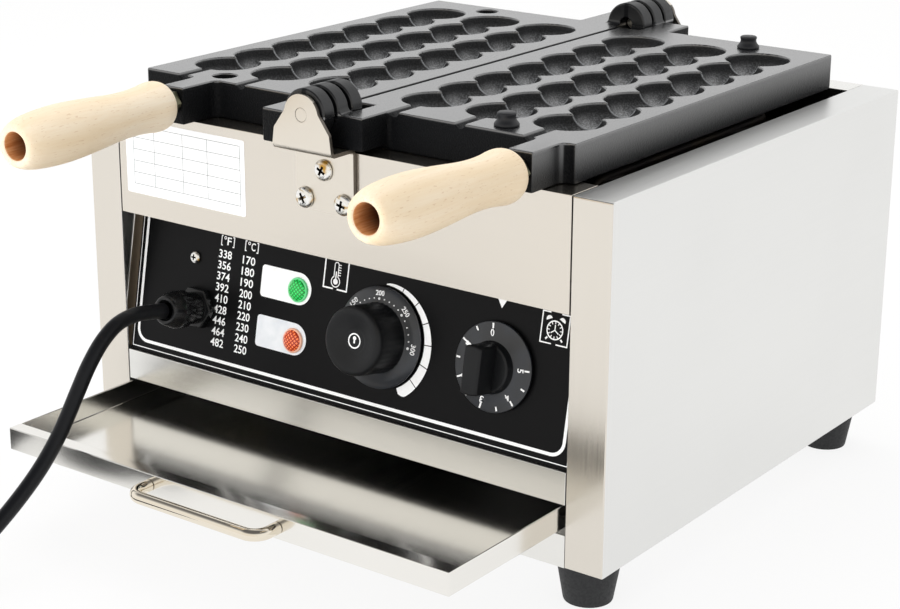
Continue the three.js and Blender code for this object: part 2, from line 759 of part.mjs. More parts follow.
// Heaters: one bent rod under each plate, its ends through the chamber floor
function heater(side) {
  const bend = heaterPitch / 2 - gap;
  const legs = Array.from({ length: heaterLegs }, (unused, i) => side * (heaterFirstX + heaterPitch * i));
  const at = (x, y, z) => new THREE.Vector3(x, y, z);
  const rear = heaterBack;
  const inner = heaterFront + heaterPitch / 2;
  const path = roundedPath([
    at(legs[0], heaterFront, chamberBase - heaterEndLength), at(legs[0], heaterFront, heaterHeight),
    at(legs[0], rear, heaterHeight), at(legs[1], rear, heaterHeight),
    at(legs[1], inner, heaterHeight), at(legs[2], inner, heaterHeight),
    at(legs[2], rear, heaterHeight), at(legs[3], rear, heaterHeight),
    at(legs[3], heaterFront, heaterHeight), at(legs[3], heaterFront, chamberBase - heaterEndLength),
  ], bend, 3);
  const collars = heaterEnds.map((x) => rod(heaterCollarRadius, chamberBase + sheet + gap,
    chamberBase + sheet + gap + heaterCollarHeight, hexSides).translate(side * x, heaterFront, 0));
  return join([ringTube(path, heaterRadius, heaterSides), ...collars]);
}
add('left_heater', heater(-1), finish(0x4b4742, 0.6, 0.7));
add('right_heater', heater(1), finish(0x4b4742, 0.6, 0.7));
const barTop = heaterHeight - heaterRadius - gap;
const barHalf = chamberHalf - sheet - gap;
function heaterBar(y) {
  return box(-barHalf, barHalf, y - barWidth / 2, y + barWidth / 2, barTop - barThickness, barTop);
}
add('front_heater_bar', heaterBar(frontBarY), steel());
add('rear_heater_bar', heaterBar(backBarY), steel());

// Thermostat bulb on the bars, with its capillary down through the floor
const bulbZ = barTop + gap + bulbRadius;
const capillary = ringTube(roundedPath([
  new THREE.Vector3(bulbCentreX, bulbFront + overrun, bulbZ),
  new THREE.Vector3(bulbCentreX, bulbFront - capillaryBend, bulbZ),
  new THREE.Vector3(bulbCentreX, bulbFront - capillaryBend, chamberBase - capillaryBend),
], capillaryBend - gap, 4), capillaryRadius, hexSides);
add('thermostat_bulb', join([rodY(bulbRadius, bulbCentreX, bulbZ, bulbFront, bulbBack, holeSides), capillary]),
  finish(0xb07a4c, 0.35, 0.9));

// Hinge brackets: a Z of thick sheet with a rounded tongue that holds the hinge pin
function bracket(isBack) {
  const place = (y) => (isBack ? bodyDepth - y : y);
  const span = (a, b) => [Math.min(place(a), place(b)), Math.max(place(a), place(b))];
  const foldZ = shelfTop - bracketSheet;
  const arm = alongX([
    [-gap, shellTop - bracketDrop], [-gap, shelfTop], [-bracketReach, shelfTop], [-bracketReach, foldZ],
    [-gap - bracketSheet, foldZ], [-gap - bracketSheet, shellTop - bracketDrop],
  ].map(([y, z]) => [place(y), z]), -bracketHalf, bracketHalf);
  const round = [];
  const arcSteps = 10;
  const startAngle = Math.PI / 9;
  for (let i = 0; i <= arcSteps; i += 1) {
    const angle = startAngle + ((Math.PI - 2 * startAngle) * i) / arcSteps;
    round.push([tongueRadius * Math.cos(angle), hingeZ + tongueRadius * Math.sin(angle)]);
  }
  const tongue = alongY([
    [-bracketHalf, foldZ], [bracketHalf, foldZ], [bracketHalf * 0.94, shelfTop + shoulderRise], ...round,
    [-bracketHalf * 0.94, shelfTop + shoulderRise],
  ], ...span(-bracketReach, bracketSheet - bracketReach));
  return cut(join([arm, tongue]), [
    ...bracketHoles(...span(-bracketSheet - overrun, overrun)),
    rodY(pinRadius + gap, 0, hingeZ, ...span(-bracketReach - overrun, bracketSheet - bracketReach + overrun),
      panelSides),
  ]);
}
add('front_hinge_bracket', bracket(false), steel());
add('rear_hinge_bracket', bracket(true), steel());
const screwNames = ['top', 'left', 'right'];
bracketScrews.forEach(([x, z], i) => {
  const make = () => screw(bracketScrewRadius, bracketScrewHeadRadius, bracketScrewHead,
    bracketScrewLength, holeSides);
  const seat = bracketSheet + 2 * gap;
  add(`front_bracket_${screwNames[i]}_screw`, make().rotateX(Math.PI / 2).translate(x, -seat, z), zinc());
  add(`rear_bracket_${screwNames[i]}_screw`, make().rotateX(-Math.PI / 2).translate(x, bodyDepth + seat, z), zinc());
});

// Hinge knuckles: outer, middle and inner places along Y, front and back
function knuckles(outer, inner) {
  const direction = Math.sign(inner - outer);
  const width = (Math.abs(inner - outer) - 2 * knuckleGap) / 3;
  return [0, 1, 2].map((i) => {
    const start = outer + direction * i * (width + knuckleGap);
    const end = start + direction * width;
    return [Math.min(start, end), Math.max(start, end)];
  });
}
const frontKnuckles = knuckles(-outerSpan, knuckleInner);
const backKnuckles = knuckles(bodyDepth + backSpan, backKnuckleInner);
const pinFront = gap - bracketReach;
const pinSides = panelSides;
add('front_hinge_pin', rodY(pinRadius, 0, hingeZ, pinFront, knuckleInner, pinSides), zinc());
add('rear_hinge_pin', rodY(pinRadius, 0, hingeZ, backKnuckleInner, bodyDepth - pinFront, pinSides), zinc());

// Frame of a handle: its axis starts at the lug's face and runs forwards
const leftSeat = {
  rise: THREE.MathUtils.degToRad(leftHandleRiseDeg),
  side: THREE.MathUtils.degToRad(leftHandleSideDeg),
  place: [-leftLugX, lugFrontY, lugMidZ + leftHandleLift],
};
const rightSeat = {
  rise: THREE.MathUtils.degToRad(rightHandleRiseDeg), side: 0, place: [rightLugX, lugFrontY, lugMidZ],
};
const handleTilt = Math.max(...[leftSeat, rightSeat].map(
  ({ rise, side }) => Math.acos(Math.cos(rise) * Math.cos(side))));
function atHandle(geometry, { rise, side, place }) {
  return geometry.rotateX(Math.PI / 2 - rise).rotateZ(side).translate(...place);
}

const woodSides = 14;

// Cast plates: rows of round dents that run into each other, with ribs, lugs and knuckles
const studSides = 12;
const dentSphere = (dentRadius ** 2 + dentDepth ** 2) / (2 * dentDepth);
function roundCut(x, y, radius, top, sides, rings) {
  const centreZ = plateTop - dentDepth + dentSphere;
  const profile = [];
  const reach = Math.asin(Math.min(1, dentRadius / dentSphere));
  for (let i = 0; i <= rings; i += 1) {
    const angle = (reach * i) / rings;
    profile.push([radius * Math.sin(angle), centreZ - radius * Math.cos(angle)]);
  }
  profile.push([profile[rings][0], top], [0, top]);
  return turned(profile, sides).translate(x, y, 0);
}
function castPlate(side) {
  const x = (from, to) => (side > 0 ? [from, to] : [-to, -from]);
  const rows = Array.from({ length: rowsPerPlate }, (unused, i) => side * (firstRowX + i * rowPitch));
  const dents = Array.from({ length: dentsPerRow }, (unused, i) => firstDentY + i * dentPitch);
  const lugX = side > 0 ? rightLugX : leftLugX;
  const own = side > 0 ? [1] : [0, 2];
  const other = side > 0 ? [0, 2] : [1];
  const hingeLugs = side > 0
    ? [[hingeLugReach, frontKnuckles[1][0], plateFront + overrun], [backLugReach, plateBack - overrun, backKnuckles[1][1]]]
    : [[hingeLugReach, frontKnuckles[0][0], plateFront + overrun], [backLugReach, plateBack - overrun, backKnuckles[0][1]]];
  const block = join([
    box(...x(seamHalf, plateWidth), plateFront, plateBack, plateBottom, plateTop),
    box(...x(lugX - lugWidth / 2, lugX + lugWidth / 2), lugFrontY, plateFront + overrun, plateBottom, plateTop),
    ...hingeLugs.map(([reach, y0, y1]) => box(...x(seamHalf, reach), y0, y1, hingeLugBottom, plateTop)),
  ]);
  const pocket = box(...x(pocketRim, plateWidth - pocketRim), pocketFront, pocketBack,
    plateBottom - overrun, plateTop - skin);
  const backs = rows.flatMap((rowX) => dents.map((y) => roundCut(rowX, y, dentSphere + wallUnderDent,
    plateTop - skin / 2, backSides, backRings)));
  const pocketed = join([cut(block, [pocket]), ...backs]);
  const reliefs = [frontKnuckles, backKnuckles].flatMap((set) => other.map((i) => {
    const inward = i === 2 ? knuckleNotch - knuckleInner : 0;
    const isFront = set === frontKnuckles;
    return rodY(knuckleRadius + knuckleRelief, 0, hingeZ, set[i][0] - knuckleGap / 2 - (isFront ? 0 : inward),
      set[i][1] + knuckleGap / 2 + (isFront ? inward : 0), panelSides);
  }));
  const relieved = cut(pocketed, reliefs);
  const barrels = [frontKnuckles, backKnuckles].flatMap((set) => own.map(
    (i) => rodY(knuckleRadius, 0, hingeZ, ...set[i], panelSides)));
  const whole = join([relieved, ...barrels]);
  const bores = [
    rodY(pinRadius + runGap, 0, hingeZ, -bracketReach, knuckleNotch, pinSides),
    rodY(pinRadius + runGap, 0, hingeZ, backKnuckleInner + knuckleInner - knuckleNotch, bodyDepth + bracketReach,
      pinSides),
  ];
  const grooves = rows.map((rowX) => rodY(grooveRadius, rowX, plateTop + grooveSink,
    plateFront - overrun, firstDentY - dentRadius * 0.8, holeSides));
  const studHoles = [frontStudY, backStudY].map((y) => (side > 0
    ? rod(studShank + gap, plateTop - studDepth - gap, plateTop + overrun, studSides)
    : rod(studRadius, plateTop - studHeight - 2 * runGap, plateTop + overrun, studSides))
    .translate(side * studX, y, 0));
  const boltHole = atHandle(rod(boltRadius + gap, -boltGrip - gap, overrun, woodSides), side > 0 ? rightSeat : leftSeat);
  const dentTools = rows.flatMap((rowX) => dents.map(
    (y) => roundCut(rowX, y, dentSphere, plateTop + overrun, dentSides, dentRings)));
  return cut(whole, [...bores, ...grooves, ...studHoles, boltHole, ...dentTools]);
}
add('left_plate', castPlate(-1), coated());
add('right_plate', castPlate(1), coated());

// Locating studs on the right plate
[['front_stud', frontStudY], ['rear_stud', backStudY]].forEach(([name, y]) => {
  const foot0 = plateTop + gap;
  const neck = (studBaseRadius + studTopRadius) / 2;
  add(name, turned([
    [0, plateTop - studDepth], [studShank, plateTop - studDepth], [studShank, foot0], [studBaseRadius, foot0],
    [studBaseRadius, foot0 + studHeight * 0.3], [neck, foot0 + studHeight * 0.45],
    [studTopRadius, foot0 + studHeight - gap], [0, foot0 + studHeight - gap],
  ], studSides).translate(studX, y, 0), coated());
});

// Handles: nut on the lug, turned wood, and a long bolt sunk in the open end
const nutStart = gap + nutRadius * Math.sin(handleTilt);
const woodStart = nutStart + nutThickness + gap;
const woodEnd = woodStart + handleLength;
const woodSeat = woodEnd - woodHoleDepth;
function woodProfile() {
  const shares = [
    [0, 0.72], [0.02, 0.93], [0.06, 1],
  ];
  const collar = shares.map(([along, wide]) => [woodCollarRadius * wide, woodStart + handleLength * along]);
  return [
    ...collar,
    [woodWaistRadius + (woodCollarRadius - woodWaistRadius) * 0.55, woodStart + handleLength * 0.13],
    [woodWaistRadius, woodStart + handleLength * 0.26],
    [woodWaistRadius + (woodBellyRadius - woodWaistRadius) * 0.45, woodStart + handleLength * 0.45],
    [woodBellyRadius, woodStart + handleLength * 0.7],
    [woodBellyRadius * 0.97, woodStart + handleLength * 0.84],
    [(woodBellyRadius + woodEndRadius) / 2 * 1.05, woodStart + handleLength * 0.94],
    [woodEndRadius * 1.08, woodEnd - gap * 4],
    [woodEndRadius, woodEnd],
    [woodHoleRadius, woodEnd],
    [woodHoleRadius, woodSeat],
    [boltRadius + gap, woodSeat],
    [boltRadius + gap, woodStart],
    [collar[0][0], woodStart],
  ];
}
function handleSet(seat, word) {
  const nut = cut(rod(nutRadius, nutStart, nutStart + nutThickness, hexSides),
    [rod(boltRadius + gap, nutStart - overrun, woodStart + overrun, woodSides)]);
  const bolt = turned([
    [0, -boltGrip], [boltRadius, -boltGrip], [boltRadius, woodSeat + gap], [boltHeadRadius, woodSeat + gap],
    [boltHeadRadius, woodSeat + gap + boltHeadHeight], [boltRadius, woodSeat + gap + boltHeadHeight],
    [boltRadius * 0.8, woodSeat + gap + boltHeadHeight / 2], [0, woodSeat + gap + boltHeadHeight / 2],
  ], woodSides);
  add(`${word}_handle_nut`, atHandle(nut, seat), zinc());
  add(`${word}_handle`, atHandle(turned(woodProfile(), woodSides), seat), wood());
  add(`${word}_handle_bolt`, atHandle(bolt, seat), zinc());
}
handleSet(leftSeat, 'left');
handleSet(rightSeat, 'right');

// Mains cord: out of the gland, down in a bow to the surface, then into a coil
const outward = new THREE.Vector3(0, -Math.cos(lean), Math.sin(lean));
const upSlope = new THREE.Vector3(0, Math.sin(lean), Math.cos(lean));
const glandEnd = new THREE.Vector3(glandX, panelFrontY, panelFrontZ)
  .addScaledVector(upSlope, glandUp).addScaledVector(outward, glandCapEnd);
const cordFloor = cordRadius + cordFloorGap;
const cordRoute = [
  [0, -46, 127.4], [0, -60, 125.6], [-0.1, -72, 118.6], [-0.3, -83, 107.4],
  [-0.7, -92, 94.6], [-1.1, -101, 81.2], [-1.5, -111, 68.2], [-2.1, -123, 55.8], [-3.1, -137, 44.2],
  [-4.5, -152, 33.4], [-6.3, -168, 23], [-8.5, -184, 14.2], [-10.5, -200, 8.2], [-11.7, -216, 5.2],
];
const coilDrift = 12.1;
const coilStartX = glandX - coilDrift;
const coilStartY = -240;
const cordExit = glandEnd.clone().addScaledVector(outward, gap);
const cordPoints = [
  cordExit,
  glandEnd.clone().addScaledVector(outward, 2 * cordRadius),
  ...cordRoute.map(([x, y, z]) => new THREE.Vector3(glandX + x, y, z)),
  new THREE.Vector3(coilStartX, coilStartY + coilTail + 2 * cordRadius, cordFloor),
  new THREE.Vector3(coilStartX, coilStartY + coilTail + gap, cordFloor),
];
const cordCurve = new THREE.CatmullRomCurve3(cordPoints);
cordCurve.arcLengthDivisions = 800;
const cordSteps = 26;
const cordSides = 8;
add('cord_lead', tube(cordCurve, cordRadius, cordSides, cordSteps), rubber());

// Coil: one unbroken tube that winds in along the surface and out again on top
const coilMiddle = (cordLength - cordCurve.getLength() - coilTail - plugTail) / (coilTurns * 2 * Math.PI);
const layerTurns = coilTurns / 2;
const coilOuter = coilMiddle + (layerTurns * coilStep) / 2;
const coilX = coilStartX - coilOuter;
function coilPoint(turns) {
  const inward = Math.min(turns, coilTurns - turns);
  const radius = coilOuter - coilStep * inward;
  const climb = THREE.MathUtils.smoothstep(turns, layerTurns - 0.25, layerTurns + 0.25);
  const angle = -2 * Math.PI * turns;
  return new THREE.Vector3(coilX + radius * Math.cos(angle), coilStartY + radius * Math.sin(angle),
    cordFloor + coilStep * climb);
}
const coilRings = Math.round(coilTurns * coilLoopSteps);
const coilPath = Array.from({ length: coilRings + 1 }, (unused, i) => coilPoint((coilTurns * i) / coilRings));
const coilEnd = coilPath[coilRings].clone();
coilPath.unshift(coilPath[0].clone().add(new THREE.Vector3(0, coilTail, 0)));
coilPath.push(coilEnd.clone().add(new THREE.Vector3(0, plugTail, 0)));
add('cord_coil', ringTube(coilPath, cordRadius, coilSides), rubber());
let coilClearance = Infinity;
for (let i = 0; i < coilPath.length; i += 1) {
  for (let k = i + coilLoopSteps / 2; k < coilPath.length; k += 1) {
    coilClearance = Math.min(coilClearance, coilPath[i].distanceTo(coilPath[k]) - 2 * cordRadius);
  }
}
console.log(`least gap of the coil to itself ${coilClearance.toFixed(2)} mm`);

// Plug: a moulded body with a tapered neck and two round pins, lying beside the coil
const plugFront = coilEnd.y + plugTail + gap;
const plugBody = box(-plugWidth / 2, plugWidth / 2, plugNeckLength, plugNeckLength + plugLength,
  -plugHeight / 2, plugHeight / 2);
const plugSlope = alongX([
  [plugNeckLength - overrun, -plugHeight / 2 - overrun], [plugNeckLength + plugLength / 3, -plugHeight / 2 - overrun],
  [plugNeckLength - overrun, -plugNeckRadius],
], -plugWidth, plugWidth);
const plugNeck = new THREE.CylinderGeometry(plugHeight * 0.4, plugNeckRadius, plugNeckLength + overrun, panelSides)
  .translate(0, (plugNeckLength + overrun) / 2, 0);
const plugPins = [-1, 1].map((side) => rodY(plugPinRadius, (side * plugPinSpacing) / 2, 0,
  plugNeckLength + plugLength - overrun, plugNeckLength + plugLength + plugPinLength, holeSides));
const plug = join([
  cut(plugBody, [plugSlope, plugSlope.clone().rotateY(Math.PI)]),
  plugNeck, ...plugPins,
]);
add('plug', plug.translate(coilEnd.x, plugFront, coilEnd.z), rubber());

// The origin is under the middle of the machine without its cord
const handleFront = lugFrontY - woodEnd * Math.cos(handleTilt) - woodEndRadius * Math.sin(handleTilt);
const machineBack = bodyDepth + bracketReach;
machine.position.y = -(handleFront + machineBack) / 2;
export default machine;
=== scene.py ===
import math

import bmesh
import bpy
import numpy as np
from mathutils import Matrix, Vector


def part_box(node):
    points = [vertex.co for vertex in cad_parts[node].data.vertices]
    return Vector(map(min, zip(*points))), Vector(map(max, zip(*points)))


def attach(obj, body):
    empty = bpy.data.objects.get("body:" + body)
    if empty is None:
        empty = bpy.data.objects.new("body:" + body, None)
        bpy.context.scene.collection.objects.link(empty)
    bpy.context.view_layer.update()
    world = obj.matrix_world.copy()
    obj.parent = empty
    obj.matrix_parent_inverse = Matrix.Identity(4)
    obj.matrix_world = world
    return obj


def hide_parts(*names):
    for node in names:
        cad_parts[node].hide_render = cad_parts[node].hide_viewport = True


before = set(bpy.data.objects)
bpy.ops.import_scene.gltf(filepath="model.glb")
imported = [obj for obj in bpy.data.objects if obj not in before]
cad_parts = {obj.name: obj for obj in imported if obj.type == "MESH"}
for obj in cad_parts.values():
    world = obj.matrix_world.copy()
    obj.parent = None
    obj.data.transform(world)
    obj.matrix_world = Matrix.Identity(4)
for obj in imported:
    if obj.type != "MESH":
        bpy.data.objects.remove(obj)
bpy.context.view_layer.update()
scene = bpy.context.scene

# Camera
# It stands to the right of the machine and a little above it, and looks down on it through a long lens.
# Places in this file are millimetres from the middle of the case's front, at the height of the table.
CASE_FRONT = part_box("front_upper_panel")[0][1]


def row_frame(points):
    """Millimetres from the case's front, as metres in the row frame."""
    return np.asarray(points, float) * 0.001 + (0.0, CASE_FRONT, 0.0)


camera_place = (719.73, -854.995, 516.71)
camera_yaw = 0.630786
camera_pitch = 0.323096
camera_roll = 0.007250
focal_pixels = 2074.47
optical_axis = (464.94, 306.45)
picture = (900, 609)
sensor_width = 36.0
ahead = Vector((
    -math.sin(camera_yaw) * math.cos(camera_pitch),
    math.cos(camera_yaw) * math.cos(camera_pitch),
    -math.sin(camera_pitch),
))
level = ahead.cross(Vector((0, 0, 1))).normalized()
lean_up = level.cross(ahead)
rightwards = math.cos(camera_roll) * level + math.sin(camera_roll) * lean_up
upwards = -math.sin(camera_roll) * level + math.cos(camera_roll) * lean_up
camera_data = bpy.data.cameras.new("photo_camera")
camera_data.sensor_width = sensor_width
camera_data.lens = focal_pixels * sensor_width / picture[0]
camera_data.shift_x = (picture[0] / 2 - optical_axis[0]) / picture[0]
camera_data.shift_y = (optical_axis[1] - picture[1] / 2) / picture[0]
camera_data.clip_start = 0.01
camera = bpy.data.objects.new("photo_camera", camera_data)
turn = Matrix((rightwards, upwards, -ahead)).transposed().to_4x4()
camera.matrix_world = Matrix.Translation(Vector(row_frame(camera_place))) @ turn
scene.collection.objects.link(camera)
scene.camera = camera
scene.view_settings.view_transform = "Standard"


# Mains cord
# A round three-core cord in black PVC, moulded smooth. It leaves the gland, bows down past the tray to
# the table, and what is left of its 1.8 m is wound into a coil of two layers.
def add_node(tree, kind, settings=None, inputs=None, output=None):
    """Adds a node with its settings, and its inputs by name or in order. Gives the node, or one of its outputs."""
    node = tree.nodes.new(kind)
    for name, value in (settings or {}).items():
        setattr(node, name, value)
    for name, value in (inputs.items() if isinstance(inputs, dict) else enumerate(inputs or ())):
        socket = node.inputs[name]
        if isinstance(value, bpy.types.NodeSocket):
            tree.links.new(value, socket)
        else:
            socket.default_value = value
    return node if output is None else node.outputs[output]


# Settings that many nodes share: a change that eases in and out, and a mix of colours.
smooth = {"interpolation_type": "SMOOTHSTEP"}
mixed = {"data_type": "RGBA"}


def linear(code):
    """An sRGB hex value as linear red, green, blue and alpha."""
    parts = [int(code[i : i + 2], 16) / 255 for i in (0, 2, 4)]
    return (*[p / 12.92 if p <= 0.04045 else ((p + 0.055) / 1.055) ** 2.4 for p in parts], 1.0)


def new_material(name, colour, roughness, metallic=0.0, **sockets):
    """A named material with one shader, its tree and the shader's inputs."""
    material = bpy.data.materials.new(name)
    material.use_nodes = True
    tree = material.node_tree
    shader = tree.nodes["Principled BSDF"]
    shader.inputs["Base Color"].default_value = linear(colour)
    shader.inputs["Roughness"].default_value = roughness
    shader.inputs["Metallic"].default_value = metallic
    for socket, value in sockets.items():
        shader.inputs[socket.replace("_", " ")].default_value = value
    return material, tree, shader.inputs


def object_place(tree, stretch=(1, 1, 1), turned=(0, 0, 0)):
    """The piece's own coordinates, stretched for a pattern."""
    place = add_node(tree, "ShaderNodeTexCoord").outputs["Object"]
    mapping = add_node(tree, "ShaderNodeMapping", inputs={"Vector": place})
    mapping.inputs["Scale"].default_value = stretch
    mapping.inputs["Rotation"].default_value = turned
    return mapping.outputs["Vector"]


def speckle(tree, vector, per_metre, detail=2.0, low=0.0, high=1.0):
    """Noise of a given number of grains to the metre, brought between two levels."""
    noise = add_node(tree, "ShaderNodeTexNoise", inputs={"Vector": vector, "Scale": per_metre, "Detail": detail})
    return add_node(tree, "ShaderNodeMapRange", None, (noise.outputs["Fac"], 0.3, 0.7, low, high), 0)


def link(tree, output, socket):
    tree.links.new(output, socket)


def three_colours(tree, value, dark, middle, pale):
    """A ramp from a dark through a middle to a pale colour."""
    ramp = add_node(tree, "ShaderNodeValToRGB", inputs={"Fac": value})
    ramp.color_ramp.elements[0].color = linear(dark)
    ramp.color_ramp.elements[1].color = linear(pale)
    ramp.color_ramp.elements.new(0.5).color = linear(middle)
    return ramp.outputs["Color"]


def stands_for(piece, slot, *nodes):
    """Hides the CAD nodes that a piece stands in for; the piece and the slot are not used."""
    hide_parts(*nodes)


def finish(name, colour, roughness, metallic=0.0, rough=None, raised=None, tints=None, **sockets):
    """A material whose roughness, relief or colour varies in grains: grains to the metre, detail, then levels."""
    material, tree, shader = new_material(name, colour, roughness, metallic, **sockets)
    if rough:
        link(tree, speckle(tree, object_place(tree), *rough), shader["Roughness"])
    if raised:
        per_metre, detail, millimetres, strength = raised
        grains = speckle(tree, object_place(tree), per_metre, detail)
        bump = add_node(tree, "ShaderNodeBump", None, {
            "Height": grains, "Distance": millimetres * 0.001, "Strength": strength}, 0)
        link(tree, bump, shader["Normal"])
    if tints:
        per_metre, detail, *colours = tints
        grains = speckle(tree, object_place(tree), per_metre, detail)
        link(tree, three_colours(tree, grains, *colours), shader["Base Color"])
    return material


cord_pvc = finish("moulded_black_pvc", "111215", 0.34, rough=(900, 3, 0.3, 0.42), raised=(260, 2, 0.12, 0.4),
                  Specular_IOR_Level=0.22)

panel_lean = math.radians(10.75)
panel_foot = (0.0, 2.5, 82.6)


def on_panel(points):
    """Across, up the slope and out of the control panel, as millimetres from the case's front."""
    u, v, w = np.asarray(points, float).T
    sine, cosine = math.sin(panel_lean), math.cos(panel_lean)
    return np.column_stack((u, panel_foot[1] + v * sine - w * cosine, panel_foot[2] + v * cosine + w * sine))


cord_length = 1800.0
cord_radius = 4.5
gland_place = (-109.3, 35.8)
gland_end = 31.0
cord_floor = cord_radius + 0.2
coil_turns = 4.5
coil_step = 9.6
coil_tail = 9.0
plug_tail = 42.0
coil_start = (-121.4, -240.0)
exit_point, exit_line = on_panel([(*gland_place, gland_end + 0.3), (*gland_place, gland_end + 2 * cord_radius)])
cord_route = [
    (-109.3, -46, 127.4), (-109.3, -60, 125.6), (-109.4, -72, 118.6), (-109.6, -83, 107.4),
    (-110, -92, 94.6), (-110.4, -101, 81.2), (-110.8, -111, 68.2), (-111.4, -123, 55.8), (-112.4, -137, 44.2),
    (-113.8, -152, 33.4), (-115.6, -168, 23), (-117.8, -184, 14.2), (-119.8, -200, 8.2), (-121, -216, 5.2),
]


def smooth_through(points, steps):
    """A centripetal curve through the points, with a number of steps between each two."""
    points = [np.asarray(p, float) for p in points]
    points = [2 * points[0] - points[1], *points, 2 * points[-1] - points[-2]]
    line = []
    for a, b, c, d in zip(points, points[1:], points[2:], points[3:]):
        knots = np.cumsum([0.0] + [max(np.linalg.norm(q - p), 1e-4) ** 0.5 for p, q in ((a, b), (b, c), (c, d))])
        for i in range(steps):
            t = knots[1] + (knots[2] - knots[1]) * i / steps
            ab = ((knots[1] - t) * a + (t - knots[0]) * b) / (knots[1] - knots[0])
            bc = ((knots[2] - t) * b + (t - knots[1]) * c) / (knots[2] - knots[1])
            cd = ((knots[3] - t) * c + (t - knots[2]) * d) / (knots[3] - knots[2])
            abc = ((knots[2] - t) * ab + (t - knots[0]) * bc) / (knots[2] - knots[0])
            bcd = ((knots[3] - t) * bc + (t - knots[1]) * cd) / (knots[3] - knots[1])
            line.append(((knots[2] - t) * abc + (t - knots[1]) * bcd) / (knots[2] - knots[1]))
    return [*line, points[-2]]


def length_of(line):
    return float(sum(np.linalg.norm(np.subtract(b, a)) for a, b in zip(line, line[1:])))


lead_line = smooth_through([
    exit_point, exit_line, *cord_route,
    (coil_start[0], coil_start[1] + coil_tail + 2 * cord_radius, cord_floor),
    (coil_start[0], coil_start[1] + coil_tail + 0.3, cord_floor),
], 8)
coil_middle = (cord_length - length_of(lead_line) - coil_tail - plug_tail) / (coil_turns * 2 * math.pi)
coil_outer = coil_middle + coil_turns / 2 * coil_step / 2
coil_centre = coil_start[0] - coil_outer


def coil_point(turns):
    """A point of the coil, which winds in along the table and out again on top."""
    radius = coil_outer - coil_step * min(turns, coil_turns - turns)
    share = min(max((turns - coil_turns / 2) * 2 + 0.5, 0), 1)
    climb = share * share * (3 - 2 * share)
    angle = -2 * math.pi * turns
    return np.array((coil_centre + radius * math.cos(angle), coil_start[1] + radius * math.sin(angle),
                     cord_floor + coil_step * climb))


coil_line = [coil_point(coil_turns * i / 324) for i in range(325)]
cord_end = coil_line[-1] + (0, plug_tail, 0)
cord_line = [*lead_line, *coil_line, cord_end]
cord_curve = bpy.data.curves.new("mains_cord", "CURVE")
cord_curve.dimensions = "3D"
cord_curve.bevel_depth = cord_radius * 0.001
cord_curve.bevel_resolution = 6
cord_curve.use_fill_caps = True
spline = cord_curve.splines.new("POLY")
spline.points.add(len(cord_line) - 1)
for point, place in zip(spline.points, row_frame(cord_line)):
    point.co = (*place, 1.0)
spline.use_smooth = True
cord_curve.materials.append(cord_pvc)
mains_cord = bpy.data.objects.new("mains_cord", cord_curve)
scene.collection.objects.link(mains_cord)
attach(mains_cord, "case")
stands_for(mains_cord, "black_rubber", "cord_lead", "cord_coil")


# Plug
# A two-pin plug, moulded in black PVC onto the cord's end, with a ribbed neck that keeps the cord from
# kinking and a waist to pull it by. Its pins are nickel-plated brass.
def mesh_piece(name, points, faces, material, body="case", smooth=True, units=row_frame):
    """A mesh object at the origin from points in millimetres. It rides on a body."""
    mesh = bpy.data.meshes.new(name)
    mesh.from_pydata([tuple(p) for p in units(points)], [], [tuple(f) for f in faces])
    mesh.polygons.foreach_set("use_smooth", [smooth] * len(mesh.polygons))
    mesh.materials.append(material)
    mesh.update()
    piece = bpy.data.objects.new(name, mesh)
    scene.collection.objects.link(piece)
    if body:
        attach(piece, body)
    return piece


def rings(sections, closed_ends=True):
    """Points and faces of a skin over rings of equal count, with its ends closed."""
    points = np.concatenate([np.asarray(s, float) for s in sections])
    count = len(sections[0])
    faces = []
    for i in range(len(sections) - 1):
        for k in range(count):
            a, b = i * count + k, i * count + (k + 1) % count
            faces.append((a, b, b + count, a + count))
    if closed_ends:
        faces.append(tuple(range(count))[::-1])
        faces.append(tuple(range(len(points) - count, len(points))))
    return points, faces


def turned_shape(profile, steps=48):
    """Points and faces of a profile of (radius, height) turned about the upright axis, poles closed."""
    points, faces, rows = [], [], []
    for radius, height in profile:
        if radius < 1e-6:
            rows.append([len(points)])
            points.append((0.0, 0.0, height))
        else:
            rows.append(list(range(len(points), len(points) + steps)))
            points += [(radius * math.cos(2 * math.pi * k / steps), radius * math.sin(2 * math.pi * k / steps), height)
                       for k in range(steps)]
    for low, high in zip(rows, rows[1:]):
        for k in range(steps):
            corners = [low[k % len(low)], low[(k + 1) % len(low)], high[(k + 1) % len(high)], high[k % len(high)]]
            corners = list(dict.fromkeys(corners))
            if len(corners) > 2:
                faces.append(tuple(corners))
    return np.array(points), faces


def joined(*shapes):
    """Several sets of points and faces as one."""
    points, faces, start = [], [], 0
    for some, their in shapes:
        points.append(np.asarray(some, float))
        faces += [tuple(i + start for i in f) for f in their]
        start += len(some)
    return np.concatenate(points), faces


def face_out(piece):
    """Merges doubles and turns the faces of a closed mesh outwards."""
    work = bmesh.new()
    work.from_mesh(piece.data)
    bmesh.ops.remove_doubles(work, verts=work.verts, dist=1e-6)
    bmesh.ops.recalc_face_normals(work, faces=work.faces)
    work.to_mesh(piece.data)
    work.free()
    return piece


def solid(name, shape, material, body="case", smooth=True, units=row_frame):
    """A closed piece from points and faces, with its faces turned outwards."""
    return face_out(mesh_piece(name, *shape, material, body, smooth, units))


def rounded_outline(half_width, half_height, corner, steps=5):
    """Points round a rectangle with rounded corners."""
    corner = min(corner, half_width, half_height)
    points = []
    for quarter in range(4):
        cx = (half_width - corner) * (1 if quarter in (0, 3) else -1)
        cy = (half_height - corner) * (1 if quarter in (0, 1) else -1)
        for i in range(steps + 1):
            angle = math.pi / 2 * (quarter + i / steps)
            points.append((cx + corner * math.cos(angle), cy + corner * math.sin(angle)))
    return points


